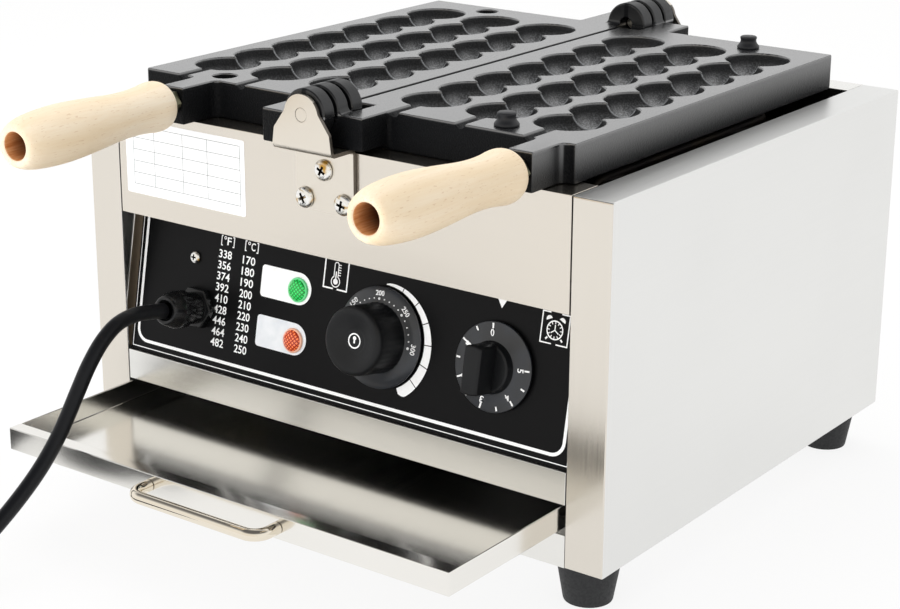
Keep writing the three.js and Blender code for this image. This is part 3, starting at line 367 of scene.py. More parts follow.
neck_length = 24.0
plug_length = 46.0
plug_start = cord_end[1] + 0.3
plug_axis = (cord_end[0], cord_end[2])
plug_sections = []
for along, wide, high in (
    (0, 6.4, 6.4), (0.4, 6.9, 6.9), (4, 7.1, 7.1), (4.2, 6.2, 6.2), (5.6, 6.2, 6.2), (5.8, 7.5, 7.5),
    (9, 7.7, 7.7), (9.2, 6.8, 6.8), (10.6, 6.8, 6.8), (10.8, 8.1, 8.1), (14, 8.3, 8.3), (14.2, 7.4, 7.4),
    (15.6, 7.4, 7.4), (15.8, 8.8, 8.8), (20, 9.8, 9.4), (neck_length, 11.6, 10.2), (neck_length + 7, 14.6, 11.0),
    (neck_length + 14, 15.2, 10.6), (neck_length + 22, 14.6, 10.4), (neck_length + 30, 15.4, 11.4),
    (neck_length + 36, 17.2, 12.6), (neck_length + 38, 17.7, 12.8), (neck_length + plug_length - 1.2, 17.8, 12.8),
    (neck_length + plug_length - 0.3, 17.2, 12.3), (neck_length + plug_length, 16.4, 11.5),
):
    corner = min(wide, high) * (1 - 0.35 * min(max((along - 20) / 20, 0), 1))
    plug_sections.append([(plug_axis[0] + x, plug_start + along, plug_axis[1] + z)
                          for x, z in rounded_outline(wide, high, corner, 8)])
plug = solid("plug_moulding", rings(plug_sections), cord_pvc)
stands_for(plug, "black_rubber", "plug")
pin_brass = finish("nickel_plated_brass", "CFCBC0", 0.22, 1.0, rough=(700, 2, 0.16, 0.3))
pin_shapes = []
for side in (-1, 1):
    profile = [(0, 0), (2.4, 0), (2.4, 16.2), (2.1, 18.0), (1.2, 18.9), (0, 19.0)]
    points, faces = turned_shape(profile, 24)
    points = points[:, [0, 2, 1]] + (plug_axis[0] + side * 9.5, plug_start + neck_length + plug_length, plug_axis[1])
    pin_shapes.append((points, faces))
plug_pins = solid("plug_pins", joined(*pin_shapes), pin_brass)


# Table and light
# A plain white table top, lit by one wide soft lamp overhead, two softer ones from the left and from the
# front, and the white room round it. Reflections show its walls bright and its ceiling darker.
def seen_directly(tree):
    """One where a surface is seen by the camera, in a reflection or through glass."""
    path = add_node(tree, "ShaderNodeLightPath").outputs
    rays = [path[kind] for kind in ("Is Camera Ray", "Is Glossy Ray")]
    either = add_node(tree, "ShaderNodeMath", {"operation": "MAXIMUM"}, rays, 0)
    return add_node(tree, "ShaderNodeMath", {"operation": "MAXIMUM"}, (either, path["Is Transmission Ray"]), 0)


table_paint, tree, shader = new_material("matt_white_table", "F6F5F4", 0.85)
link(tree, speckle(tree, object_place(tree), 60, 3, 0.8, 0.9), shader["Roughness"])
white = add_node(tree, "ShaderNodeEmission", inputs={"Color": (1, 1, 1, 1), "Strength": 1.0})
whiteness = 0.86
share = add_node(tree, "ShaderNodeMath", {"operation": "MULTIPLY"}, (seen_directly(tree), whiteness), 0)
paint = tree.nodes["Principled BSDF"].outputs[0]
blend = add_node(tree, "ShaderNodeMixShader", inputs=(share, paint, white.outputs[0]))
link(tree, blend.outputs[0], tree.nodes["Material Output"].inputs["Surface"])
table_reach = 12.0
table_mesh = bpy.data.meshes.new("table")
table_mesh.from_pydata([(x * table_reach, y * table_reach, 0) for x, y in ((-1, -1), (1, -1), (1, 1), (-1, 1))], [],
                       [(0, 1, 2, 3)])
table_mesh.materials.append(table_paint)
table = bpy.data.objects.new("table", table_mesh)
scene.collection.objects.link(table)

room = bpy.data.worlds.new("white_room")
room.use_nodes = True
tree = room.node_tree
tree.nodes.clear()
around = add_node(tree, "ShaderNodeTexCoord").outputs["Generated"]
parts = add_node(tree, "ShaderNodeSeparateXYZ", inputs={"Vector": around}).outputs
frontness = add_node(tree, "ShaderNodeMapRange", smooth, (parts["Y"], -1.0, -0.35, 1.0, 0.0), 0)
walls = add_node(tree, "ShaderNodeMix", mixed, {
    "Factor": frontness, "A": (1, 1, 1, 1), "B": linear("FBF7F0")}, "Result")
above = add_node(tree, "ShaderNodeMapRange", smooth, (parts["Z"], 0.45, 0.8), 0)
not_behind = add_node(tree, "ShaderNodeMapRange", smooth, (parts["Y"], 0.1, 0.5, 1.0, 0.0), 0)
ceiling = add_node(tree, "ShaderNodeMath", {"operation": "MULTIPLY"}, (above, not_behind), 0)
walls_and_ceiling = add_node(tree, "ShaderNodeMix", mixed, {
    "Factor": ceiling, "A": walls, "B": linear("6A6A6C")}, "Result")
seen = add_node(tree, "ShaderNodeBackground", inputs={"Color": walls_and_ceiling, "Strength": 1.0})
light = add_node(tree, "ShaderNodeBackground", inputs={"Color": (1, 1, 1, 1), "Strength": 0.8})
choice = add_node(tree, "ShaderNodeMixShader", inputs=(seen_directly(tree), light.outputs[0], seen.outputs[0]))
link(tree, choice.outputs[0], add_node(tree, "ShaderNodeOutputWorld").inputs["Surface"])
scene.world = room


def soft_lamp(name, place, target, width, power):
    """A square lamp that looks at a point, all in metres."""
    lamp_data = bpy.data.lights.new(name, "AREA")
    lamp_data.shape = "SQUARE"
    lamp_data.size = width
    lamp_data.energy = power
    lamp = bpy.data.objects.new(name, lamp_data)
    lamp.location = place
    lamp.visible_glossy = False
    lamp.rotation_euler = (Vector(target) - Vector(place)).to_track_quat("-Z", "Y").to_euler()
    scene.collection.objects.link(lamp)


soft_lamp("overhead_lamp", (-0.5, 0.5, 1.9), (0, 0, 0.1), 1.6, 18)
soft_lamp("left_lamp", (-1.7, -1.4, 1.1), (0, 0, 0.15), 1.0, 5)
soft_lamp("front_lamp", (-0.1, -1.5, 0.12), (-0.05, -0.2, 0.22), 0.9, 13)


# Case
# Folded stainless sheet, 1.2 mm thick, brushed along its length and held by spot welds. The light runs
# along its bends, and the brushing spreads reflections a little.
def rounded(piece, millimetres, steps=2, angle=30):
    """Rounds the sharp edges of a piece with a bevel."""
    bevel = piece.modifiers.new("rounding", "BEVEL")
    bevel.width = millimetres * 0.001
    bevel.segments = steps
    bevel.limit_method = "ANGLE"
    bevel.angle_limit = math.radians(angle)
    bevel.use_clamp_overlap = True
    piece.modifiers.new("even_light", "WEIGHTED_NORMAL").weight = 100
    return piece


def brushed(name, colour, along, roughness=0.24):
    """Stainless sheet brushed along an axis. Its lines are fine and only just break up a reflection."""
    material, tree, shader = new_material(name, colour, roughness, 1.0)
    lines_per_metre, stretch = 1400.0, 100
    scales = [lines_per_metre] * 3
    scales[along] = lines_per_metre / stretch
    lines = speckle(tree, object_place(tree, scales), 1.0, 3, 0, 1)
    uneven = add_node(tree, "ShaderNodeMapRange", None, (lines, 0, 1, roughness - 0.03, roughness + 0.03), 0)
    link(tree, uneven, shader["Roughness"])
    bump = add_node(tree, "ShaderNodeBump", None, {"Height": lines, "Distance": 0.0000008, "Strength": 0.15}, 0)
    link(tree, bump, shader["Normal"])
    clouds = speckle(tree, object_place(tree), 7, 2, 0, 1)
    darker = tuple(0.97 * c for c in linear(colour)[:3]) + (1.0,)
    tint = add_node(tree, "ShaderNodeMix", mixed, {"Factor": clouds, "A": linear(colour), "B": darker}, "Result")
    link(tree, tint, shader["Base Color"])
    return material


def dressed_sheet(node, name, material, body="case", edge=0.35, steps=2, slot="stainless", shorter=0.0):
    """A CAD sheet in place of the sharp one, with its rims eased, its bends rounded more and its ends cut shorter."""
    work = bmesh.new()
    work.from_mesh(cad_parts[node].data)
    bmesh.ops.remove_doubles(work, verts=work.verts, dist=1e-6)
    half = max(abs(v.co.x) for v in work.verts)
    # The rim round a sheet's opening stays in pieces, since one face can't have a hole.
    merged = [e for e in work.edges if abs(e.verts[0].co.x) > half - 0.003
              or any(abs(f.normal.x) < 0.9 for f in e.link_faces)]
    bmesh.ops.dissolve_limit(work, angle_limit=math.radians(1), verts=work.verts, edges=merged)
    weight = work.edges.layers.float.new("bevel_weight_edge")
    for line in work.edges:
        if len(line.link_faces) == 2 and line.calc_face_angle() > 0.4:
            narrow = min(f.calc_area() / max(e.calc_length() for e in f.edges) for f in line.link_faces)
            line[weight] = 1.0 if narrow > 0.0025 else min(1.0, 0.3 / edge)
    for v in work.verts:
        if abs(v.co.x) > half - 0.002:
            v.co.x -= math.copysign(shorter * 0.001, v.co.x)
    mesh = bpy.data.meshes.new(name)
    work.to_mesh(mesh)
    work.free()
    mesh.polygons.foreach_set("use_smooth", [True] * len(mesh.polygons))
    mesh.materials.append(material)
    piece = bpy.data.objects.new(name, mesh)
    scene.collection.objects.link(piece)
    bevel = rounded(piece, edge, steps).modifiers["rounding"]
    bevel.limit_method = "WEIGHT"
    bevel.use_clamp_overlap = edge < 0.8
    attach(piece, body)
    stands_for(piece, slot, node)
    return piece


# The upper front sheet and the side sheets' front flanges are coloured warmer than the other sheets; this warm tint is
# a painted reflection of the room in front.
steel_painted_warm_reflection = brushed("stainless_front_brushed_across", "E4DDD2", 0)
steel_across = brushed("stainless_brushed_across", "EFEEEA", 0)
steel_deep = brushed("stainless_brushed_front_to_back", "EAEAE8", 1, 0.36)
flange_steel_painted_warm_reflection = brushed("stainless_flange_brushed_upwards", "E4DED4", 2)
for side in ("left", "right"):
    sheet = dressed_sheet(f"{side}_side_panel", f"{side}_side_sheet", steel_deep, edge=1.2, steps=4)
    sheet.data.materials.append(flange_steel_painted_warm_reflection)
    # Faces that look forward get the warmer flange colour, a painted reflection.
    for face in sheet.data.polygons:
        face.material_index = int(face.normal.y < -0.9)
dressed_sheet("front_upper_panel", "upper_front_sheet", steel_painted_warm_reflection, shorter=0.6)
dressed_sheet("front_strip", "strip_sheet", steel_across, shorter=0.4)
for node, name in (("base_pan", "base_sheet"), ("rear_panel", "rear_sheet")):
    dressed_sheet(node, name, steel_across)
# This steel is rough and dull, and its brown 8E7F6C is a painted reflection of the dark brown that the margin beside
# the overlay shows.
steel_painted_brown_reflection = brushed("stainless_control_sheet_unpolished", "8E7F6C", 0, 0.42)
steel_painted_brown_reflection.node_tree.nodes["Principled BSDF"].inputs["Metallic"].default_value = 0.4
dressed_sheet("control_frame", "control_sheet", steel_painted_brown_reflection, edge=0.6)


# Waffle plates
# Two castings in aluminium with a black non-stick coat, sand-cast and left rough in the dents. Each has
# three rows of seven round dents, a groove for each stick, knuckles for the hinge and a lug for the handle.
plate_top = 257.5
plate_bottom = 235.8
plate_front, plate_back = 16.7, 305.8
plate_inner, plate_outer = 1.2, 153.0
first_row, row_pitch, row_count = 33.8, 44.85, 3
first_dent, dent_pitch, dent_count = 55.8, 34.717, 7
dent_depth = 16.8
dent_ball = 19.833
dent_wall = 4.4
groove_radius, pin_bore, bolt_bore, bolt_depth = 3.5, 4.5, 4.4, 13.4
hinge_height = 257.8
knuckle_radius, knuckle_relief = 14.2, 15.8
front_knuckles = ((-18.7, -9.3), (-6.7, 2.7), (5.3, 14.7))
rear_knuckles = ((336.4, 347.5), (322.8, 333.8), (309.1, 320.1))
lug_middle = {1: 137.5, -1: 105.3}
lug_half = 7.75
lug_front = -11.2
handle_seats = {1: (lug_middle[1], lug_front, 246.65), -1: (-lug_middle[-1], lug_front, 248.85)}
handle_lean = {1: (1.4, 0.0), -1: (-0.6, 2.3)}
handle_lines = {}
for side, (rise, aside) in handle_lean.items():
    rise, aside = math.radians(rise), math.radians(aside)
    handle_lines[side] = (math.cos(rise) * math.sin(aside), -math.cos(rise) * math.cos(aside), math.sin(rise))
stud_x, stud_rows = 101.2, (28.5, 292.4)
stud_hole, stud_hole_depth = 7.25, 8.4


def soft_min(a, b, blend):
    """The nearer of two distances, with the corner between them filled by a fillet."""
    overlap = np.clip(blend - np.abs(a - b), 0, None) / blend
    return np.minimum(a, b) - overlap * overlap * blend / 4


def soft_max(a, b, blend):
    return -soft_min(-a, -b, blend)


def block(x, y, z, low, high, rounding):
    """Distance to a box with rounded edges."""
    gaps = [np.abs(v - (a + b) / 2) - ((b - a) / 2 - rounding) for v, a, b in zip((x, y, z), low, high)]
    outside = np.sqrt(sum(np.clip(g, 0, None) ** 2 for g in gaps))
    return outside + np.minimum(np.maximum(np.maximum(gaps[0], gaps[1]), gaps[2]), 0) - rounding


def drum(x, y, z, radius, y0, y1, rounding):
    """Distance to a disc on the hinge line, with rounded rims."""
    around = np.hypot(x, z - hinge_height) - (radius - rounding)
    along = np.abs(y - (y0 + y1) / 2) - ((y1 - y0) / 2 - rounding)
    outside = np.hypot(np.clip(around, 0, None), np.clip(along, 0, None))
    return outside + np.minimum(np.maximum(around, along), 0) - rounding


def plate_distance(side):
    """The distance field of one plate, in millimetres, below nought inside the metal."""
    own = (1,) if side > 0 else (0, 2)
    other = (0, 2) if side > 0 else (1,)
    outermost = 1 if side > 0 else 0

    def distance(x, y, z):
        offset = [v - s for v, s in zip((x, y, z), handle_seats[side])]
        depth = sum(o * l for o, l in zip(offset, handle_lines[side]))
        aside = np.sqrt(sum((o - depth * l) ** 2 for o, l in zip(offset, handle_lines[side])))
        bolt_hole = np.maximum(aside - bolt_bore, -bolt_depth - depth)
        x = x * side
        shape = block(x, y, z, (plate_inner, plate_front, plate_bottom), (plate_outer, plate_back, plate_top), 0.5)
        lug = block(x, y, z, (lug_middle[side] - lug_half, lug_front, plate_bottom),
                    (lug_middle[side] + lug_half, plate_front + 12, plate_top), 0.8)
        shape = soft_min(shape, lug, 6)
        for reach, y0, y1 in ((30.4, front_knuckles[outermost][0], plate_front + 10),
                              (34, plate_back - 10, rear_knuckles[outermost][1])):
            arm = block(x, y, z, (plate_inner, y0, 238.6), (reach, y1, plate_top), 0.8)
            shape = soft_min(shape, arm, 3)
        shape = np.maximum(shape, np.maximum(z - plate_top, plate_bottom - z))
        pocket = block(x, y, z, (8, 41, 200), (145, 288, 251), 3)
        shape = soft_max(shape, -pocket, 1.5)
        row = np.clip(np.round((x - first_row) / row_pitch), 0, row_count - 1)
        across = x - first_row - row_pitch * row
        number = np.clip(np.round((y - first_dent) / dent_pitch), 0, dent_count - 1)
        along = y - first_dent - dent_pitch * number
        rise = z - (plate_top - dent_depth + dent_ball)
        ball = np.sqrt(across ** 2 + along ** 2 + rise ** 2)
        beside = number + np.where(along >= 0, 1, -1)
        along_next = y - first_dent - dent_pitch * beside
        next_ball = np.sqrt(across ** 2 + along_next ** 2 + rise ** 2)
        next_ball = np.where((beside < 0) | (beside > dent_count - 1), 1e3, next_ball)
        backs = soft_max(ball - dent_ball - dent_wall, z - plate_top + 3, 1)
        shape = soft_min(shape, backs, 2.5)
        for index in other:
            for y0, y1 in (front_knuckles[index], rear_knuckles[index]):
                inward = 7.6 if index == 2 else 0
                y0, y1 = (y0 - 1.2, y1 + 1.2 + inward) if y0 < 100 else (y0 - 1.2 - inward, y1 + 1.2)
                shape = soft_max(shape, -drum(x, y, z, knuckle_relief, y0, y1, 0.5), 1.2)
        for index in own:
            for y0, y1 in (front_knuckles[index], rear_knuckles[index]):
                shape = soft_min(shape, drum(x, y, z, knuckle_radius, y0, y1, 1.1), 3)
        pin_room = np.maximum(np.hypot(x, z - hinge_height) - pin_bore,
                              np.minimum(y - plate_front - 5.6, plate_back - 4.3 - y))
        shape = soft_max(shape, -pin_room, 0.6)
        groove = np.maximum(np.hypot(across, z - plate_top - 0.4) - groove_radius, y - first_dent + 14)
        shape = soft_max(shape, -groove, 0.4)
        hollow = soft_min(ball - dent_ball, next_ball - dent_ball, 0.7)
        shape = soft_max(shape, -hollow, 0.45)
        shape = soft_max(shape, -bolt_hole, 0.3)
        if side < 0:
            for place in stud_rows:
                hole = np.maximum(np.hypot(x - stud_x, y - place) - stud_hole, plate_top - stud_hole_depth - z)
                shape = soft_max(shape, -hole, 0.6)
        return shape

    return distance


def cast_skin(distance, low, high, step):
    """Points and square faces on a distance field's surface, one point to each cell that it crosses."""
    axes = [np.arange(a, b + step, step) for a, b in zip(low, high)]
    field = distance(*np.meshgrid(*axes, indexing="ij"))
    inside = field < 0
    corners = [(i, j, k) for i in (0, 1) for j in (0, 1) for k in (0, 1)]
    shape = [n - 1 for n in field.shape]

    def corner_values(grid, corner):
        return grid[tuple(slice(c, c + n) for c, n in zip(corner, shape))]

    count = sum(corner_values(inside, c).astype(np.int8) for c in corners)
    cells = np.argwhere((count > 0) & (count < 8))
    number = np.full(shape, -1, np.int64)
    number[tuple(cells.T)] = np.arange(len(cells))
    total = np.zeros((len(cells), 3))
    hits = np.zeros(len(cells))
    for start in corners:
        for axis in range(3):
            if start[axis]:
                continue
            end = tuple(c + (a == axis) for a, c in enumerate(start))
            first = field[tuple((cells + start).T)]
            last = field[tuple((cells + end).T)]
            crossed = (first < 0) != (last < 0)
            place = np.array(start, float) + np.zeros((len(cells), 3))
            place[:, axis] += np.where(crossed, first / np.where(crossed, first - last, 1), 0)
            total += np.where(crossed[:, None], place, 0)
            hits += crossed
    points = np.array(low) + (cells + total / hits[:, None]) * step
    faces = []
    for axis in range(3):
        one, two = [a for a in range(3) if a != axis]
        span = [slice(1, -1)] * 3
        span[axis] = slice(0, -1)
        ahead_span = list(span)
        ahead_span[axis] = slice(1, None)
        here, there = inside[tuple(span)], inside[tuple(ahead_span)]
        edges = np.argwhere(here != there)
        leaving = here[tuple(edges.T)]
        base = edges + [0 if a == axis else 1 for a in range(3)]
        quad = []
        for i, j in ((0, 0), (1, 0), (1, 1), (0, 1)):
            cell = base.copy()
            cell[:, one] -= i
            cell[:, two] -= j
            quad.append(number[tuple(cell.T)])
        quad = np.stack(quad, 1)
        turned_round = leaving if axis != 1 else ~leaving
        quad[~turned_round] = quad[~turned_round][:, ::-1]
        faces.append(quad)
    return points, np.concatenate(faces)


def slope(distance, points):
    """The distance at some points and the direction in which it grows."""
    here = distance(*points.T)
    small = 0.02
    grown = [distance(*(points + small * np.eye(3)[a]).T) - distance(*(points - small * np.eye(3)[a]).T)
             for a in range(3)]
    return here, np.stack(grown, 1) / (2 * small)


def evaluated(piece):
    """A new mesh with a piece's modifiers applied."""
    return bpy.data.meshes.new_from_object(piece.evaluated_get(bpy.context.evaluated_depsgraph_get()))


def cast_plate(name, side, material, body, most_faces=92000):
    """One plate as a mesh on its distance field, moved onto the surface and thinned."""
    distance = plate_distance(side)
    low = (-17.0 if side > 0 else -156.0, -21.0, 233.0)
    high = (156.0 if side > 0 else 17.0, 351.0, 274.0)
    step = 1.0
    points, faces = cast_skin(distance, low, high, step)
    for _ in range(2):
        here, grown = slope(distance, points)
        points = points - np.clip(here, -step, step)[:, None] * grown / (grown ** 2).sum(1, keepdims=True).clip(0.2)
    mesh = bpy.data.meshes.new(name)
    mesh.vertices.add(len(points))
    mesh.vertices.foreach_set("co", row_frame(points).astype(np.float32).ravel())
    mesh.loops.add(faces.size)
    mesh.loops.foreach_set("vertex_index", faces.ravel().astype(np.int32))
    mesh.polygons.add(len(faces))
    mesh.polygons.foreach_set("loop_start", np.arange(0, faces.size, 4, dtype=np.int32))
    mesh.update(calc_edges=True)
    rough = bpy.data.objects.new(name, mesh)
    scene.collection.objects.link(rough)
    thin = rough.modifiers.new("thin", "DECIMATE")
    thin.ratio = min(1.0, most_faces / len(faces))
    final = evaluated(rough)
    final.name = name
    bpy.data.objects.remove(rough)
    final.polygons.foreach_set("use_smooth", [True] * len(final.polygons))
    flat = np.empty(len(final.vertices) * 3, np.float32)
    final.vertices.foreach_get("co", flat)
    millimetres = (flat.reshape(-1, 3) - (0.0, CASE_FRONT, 0.0)) * 1000
    grown = slope(distance, millimetres)[1]
    final.normals_split_custom_set_from_vertices(grown / np.linalg.norm(grown, axis=1, keepdims=True).clip(1e-6))
    final.materials.append(material)
    piece = bpy.data.objects.new(name, final)
    scene.collection.objects.link(piece)
    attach(piece, body)
    return piece


# The coat is smooth and glossy on the ground top. In the dents it lies over rough sand-cast metal and is glossier low
# down, where more of it has gathered; light grey flecks there are painted glints, and a light line on the ridges
# between the middle dents is a painted highlight.
non_stick, tree, shader = new_material(
    "non_stick_coat_on_cast_aluminium", "0D0E10", 0.4, Specular_IOR_Level=0.14, Coat_Roughness=0.24, Coat_IOR=2.6)
place = add_node(tree, "ShaderNodeSeparateXYZ", inputs={"Vector": object_place(tree)}).outputs
normal = add_node(tree, "ShaderNodeTexCoord").outputs["Normal"]
facing = add_node(tree, "ShaderNodeSeparateXYZ", inputs={"Vector": normal}).outputs
top, middle_dent = plate_top * 0.001, CASE_FRONT + (first_dent + dent_pitch * (dent_count - 1) / 2) * 0.001
half_pitch = dent_pitch * 0.0005
mask = {"x": place["X"], "y": place["Y"], "height": place["Z"], "facing_up": facing["Z"],
        "sand": speckle(tree, object_place(tree), 950, 2, 0, 1),
        "sparks": speckle(tree, object_place(tree), 1300, 1, 0, 1)}
# Each line makes one mask: from another one while that goes between two values, or from two by an operation.
for name, source, *step in (
    ("in_dent", "height", top - 0.0025, top - 0.0008, 1.0, 0.12),
    ("rough_sand", "sand", "MULTIPLY", "in_dent"),
    ("roughness", "in_dent", 0, 1, 0.36, 0.5),
    ("coat_roughness", "in_dent", 0.12, 1, 0.24, 0.36),
    ("off_middle", "x", "ABSOLUTE", 0.0),
    ("not_low", "height", top - 0.0015, top - 0.0005, 0, 1),
    ("not_high", "height", top + 0.00015, top + 0.0005, 1, 0.2),
    ("off_gap", "off_middle", 0.0014, 0.0018, 0, 1),
    ("ground", "not_low", "MULTIPLY", "not_high"),
    ("ground", "ground", "MULTIPLY", "off_gap"),
    ("along", "y", "SUBTRACT", middle_dent),
    ("from_middle", "along", "ABSOLUTE", 0.0),
    ("off_inner_rim", "off_middle", 0.004, 0.006, 0, 1),
    ("off_outer_rim", "off_middle", 0.148, 0.15, 1, 0),
    ("off_ends", "from_middle", 0.139, 0.141, 1, 0),
    ("upward", "facing_up", 0, 0.1, 0, 1),
    ("within", "off_inner_rim", "MULTIPLY", "off_outer_rim"),
    ("within", "within", "MULTIPLY", "off_ends"),
    ("within", "within", "MULTIPLY", "upward"),
    ("low_down", "height", top - 0.0135, top - 0.004, 0.95, 0.05),
    ("low_in_dent", "low_down", "MULTIPLY", "within"),
    ("lug_outside", "off_middle", 0.1445, 0.145, 0, 1),
    ("on_lug", "y", CASE_FRONT + 0.0145, CASE_FRONT + 0.0155, 1, 0),
    ("lug_side", "lug_outside", "MULTIPLY", "on_lug"),
    ("outermost", "off_middle", 0.1516, 0.1526, 0, 1),
    ("outermost", "outermost", "MAXIMUM", "lug_side"),
    ("upper", "height", (plate_bottom + 2) * 0.001, top, 0.15, 0.8),
    ("outer_wall", "outermost", "MULTIPLY", "upper"),
    ("inside", "low_in_dent", "MAXIMUM", "outer_wall"),
    ("coat", "ground", "MAXIMUM", "inside"),
    # The glitter flecks low in the dents and the light line on the crests are painted glints and a painted highlight.
    ("glitter", "sparks", 0.3, 0.9, 0, 0.9),
    ("glitter", "glitter", "MULTIPLY", "low_in_dent"),
    ("from_crest", "from_middle", "SUBTRACT", half_pitch),
    ("from_crest", "from_crest", "PINGPONG", half_pitch),
    ("crest", "from_crest", 0.0003, 0.0008, 1, 0),
    ("middle_dents", "from_middle", 0.1, 0.101, 1, 0),
    ("crest", "crest", "MULTIPLY", "middle_dents"),
    ("crest", "crest", "MULTIPLY", "within"),
    ("below_top", "height", top - 0.002, top - 0.0008, 0.8, 0),
    ("crest", "crest", "MULTIPLY", "below_top"),
    ("worn", "glitter", "MAXIMUM", "crest"),
):
    if isinstance(step[0], str):
        operation, other = step
        made = add_node(tree, "ShaderNodeMath", {"operation": operation}, (mask[source], mask.get(other, other)), 0)
    else:
        made = add_node(tree, "ShaderNodeMapRange", smooth, (mask[source], *step), 0)
    mask[name] = made
sanded = add_node(tree, "ShaderNodeBump", None, {
    "Height": mask["rough_sand"], "Distance": 0.00034, "Strength": 1.0}, 0)
waves = speckle(tree, object_place(tree), 520, 2, 0, 1)
uneven = add_node(tree, "ShaderNodeBump", None, {
    "Height": waves, "Distance": 0.000035, "Strength": 0.5, "Normal": sanded}, 0)
# The light grey 9A9C9E mixed into the black coat is painted glints and a painted ridge highlight.
coat_colour_with_painted_highlights = add_node(tree, "ShaderNodeMix", mixed, {
    "Factor": mask["worn"], "A": linear("0D0E10"), "B": linear("9A9C9E")}, "Result")
for output, socket in ((uneven, "Normal"), (coat_colour_with_painted_highlights, "Base Color"), (mask["roughness"], "Roughness"),
                       (mask["coat"], "Coat Weight"), (mask["coat_roughness"], "Coat Roughness")):
    link(tree, output, shader[socket])
left_casting = cast_plate("left_waffle_plate", -1, non_stick, "left_leaf")
right_casting = cast_plate("right_waffle_plate", 1, non_stick, "right_leaf")
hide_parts("left_plate")
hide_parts("right_plate")
stud_steel = finish("blackened_stud_steel", "15161A", 0.46, raised=(900, 2, 0.05, 0.5), Specular_IOR_Level=0.5)
for place, node in zip(stud_rows, ("front_stud", "rear_stud")):
    foot = plate_top + 0.1
    profile = [(0, foot), (6.8, foot), (7.0, foot + 0.4), (6.9, foot + 1.2), (6.3, foot + 2.0), (5.5, foot + 3.0),
               (5.0, foot + 4.0), (4.9, foot + 5.2), (5.2, foot + 6.2), (5.2, foot + 6.9), (4.7, foot + 7.35),
               (0, foot + 7.4)]
    points, faces = turned_shape(profile, 48)
    stud = solid(f"{node}_cone", (points + (stud_x, place, 0), faces), stud_steel, "right_leaf")
    stands_for(stud, "coated_casting", node)


# Hinge
# Two Z-brackets of 2.2 mm zinc-plated steel, pressed and bent, hold a pin each. The plates' knuckles turn
# on the pins. Three pan head screws with a cross recess fix each bracket to the case.
def combined(piece, other, operation):
    """Joins another piece to a piece, or cuts it out, and takes the other away."""
    saw = piece.modifiers.new("saw", "BOOLEAN")
    saw.operation = operation
    saw.solver = "EXACT"
    saw.object = other
    result = evaluated(piece)
    piece.modifiers.remove(saw)
    bpy.data.objects.remove(other)
    result.name = piece.data.name
    piece.data = result


def carved(piece, *cutters):
    """Cuts shapes, as points in millimetres and faces, out of a piece."""
    for cutter in cutters:
        combined(piece, solid("tool", cutter, piece.data.materials[0], None, False), "DIFFERENCE")
    return piece


def along_axis(shape, place, direction):
    """A shape on the upright axis, with that axis laid along a direction from a place."""
    points, faces = shape
    direction = Vector(direction).normalized()
    turn = np.array(Vector((0, 0, 1)).rotation_difference(direction).to_matrix())
    return np.asarray(points, float) @ turn.T + place, faces


def repeated(name, pattern, places, aims, material, body, slot, nodes):
    """Copies of a pattern at places in millimetres, each turned by its own angles, through Geometry Nodes."""
    spots = bpy.data.meshes.new(f"{name}_places")
    spots.from_pydata([tuple(p) for p in row_frame(places)], [], [])
    turns = spots.attributes.new("aim", "FLOAT_VECTOR", "POINT")
    turns.data.foreach_set("vector", [a for aim in aims for a in aim])
    piece = bpy.data.objects.new(name, spots)
    scene.collection.objects.link(piece)
    group = bpy.data.node_groups.new(f"{name}_repeat", "GeometryNodeTree")
    for label, kind, way in (("Places", "NodeSocketGeometry", "INPUT"), ("Pattern", "NodeSocketObject", "INPUT"),
                             ("Finish", "NodeSocketMaterial", "INPUT"), ("Pieces", "NodeSocketGeometry", "OUTPUT")):
        group.interface.new_socket(label, in_out=way, socket_type=kind)
    given = add_node(group, "NodeGroupInput").outputs
    copy = add_node(group, "GeometryNodeObjectInfo", {"transform_space": "ORIGINAL"}, {"Object": given["Pattern"]})
    dots = add_node(group, "GeometryNodeMeshToPoints", inputs={"Mesh": given["Places"]})
    aim = add_node(group, "GeometryNodeInputNamedAttribute", {"data_type": "FLOAT_VECTOR"}, {"Name": "aim"})
    spin = add_node(group, "FunctionNodeEulerToRotation", inputs={"Euler": aim.outputs["Attribute"]})
    spread = add_node(group, "GeometryNodeInstanceOnPoints", inputs={
        "Points": dots.outputs[0], "Instance": copy.outputs["Geometry"], "Rotation": spin.outputs[0]})
    real = add_node(group, "GeometryNodeRealizeInstances", inputs={"Geometry": spread.outputs[0]})
    finish = add_node(group, "GeometryNodeSetMaterial", inputs={
        "Geometry": real.outputs[0], "Material": given["Finish"]})
    link(group, finish.outputs[0], add_node(group, "NodeGroupOutput").inputs["Pieces"])
    modifier = piece.modifiers.new("repeat", "NODES")
    modifier.node_group = group
    for socket in group.interface.items_tree:
        if socket.name == "Pattern":
            modifier[socket.identifier] = pattern
        if socket.name == "Finish":
            modifier[socket.identifier] = material
    made = evaluated(piece)
    piece.modifiers.remove(modifier)
    bpy.data.objects.remove(pattern)
    made.name = name
    made.polygons.foreach_set("use_smooth", [True] * len(made.polygons))
    piece.data = made
    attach(piece, body)
    stands_for(piece, slot, *nodes)
    return piece


def sharp_normals(piece, degrees=35):
    """Smooth shading that stops at edges sharper than an angle."""
    piece.data.polygons.foreach_set("use_smooth", [True] * len(piece.data.polygons))
    piece.data.set_sharp_from_angle(angle=math.radians(degrees))
    return piece


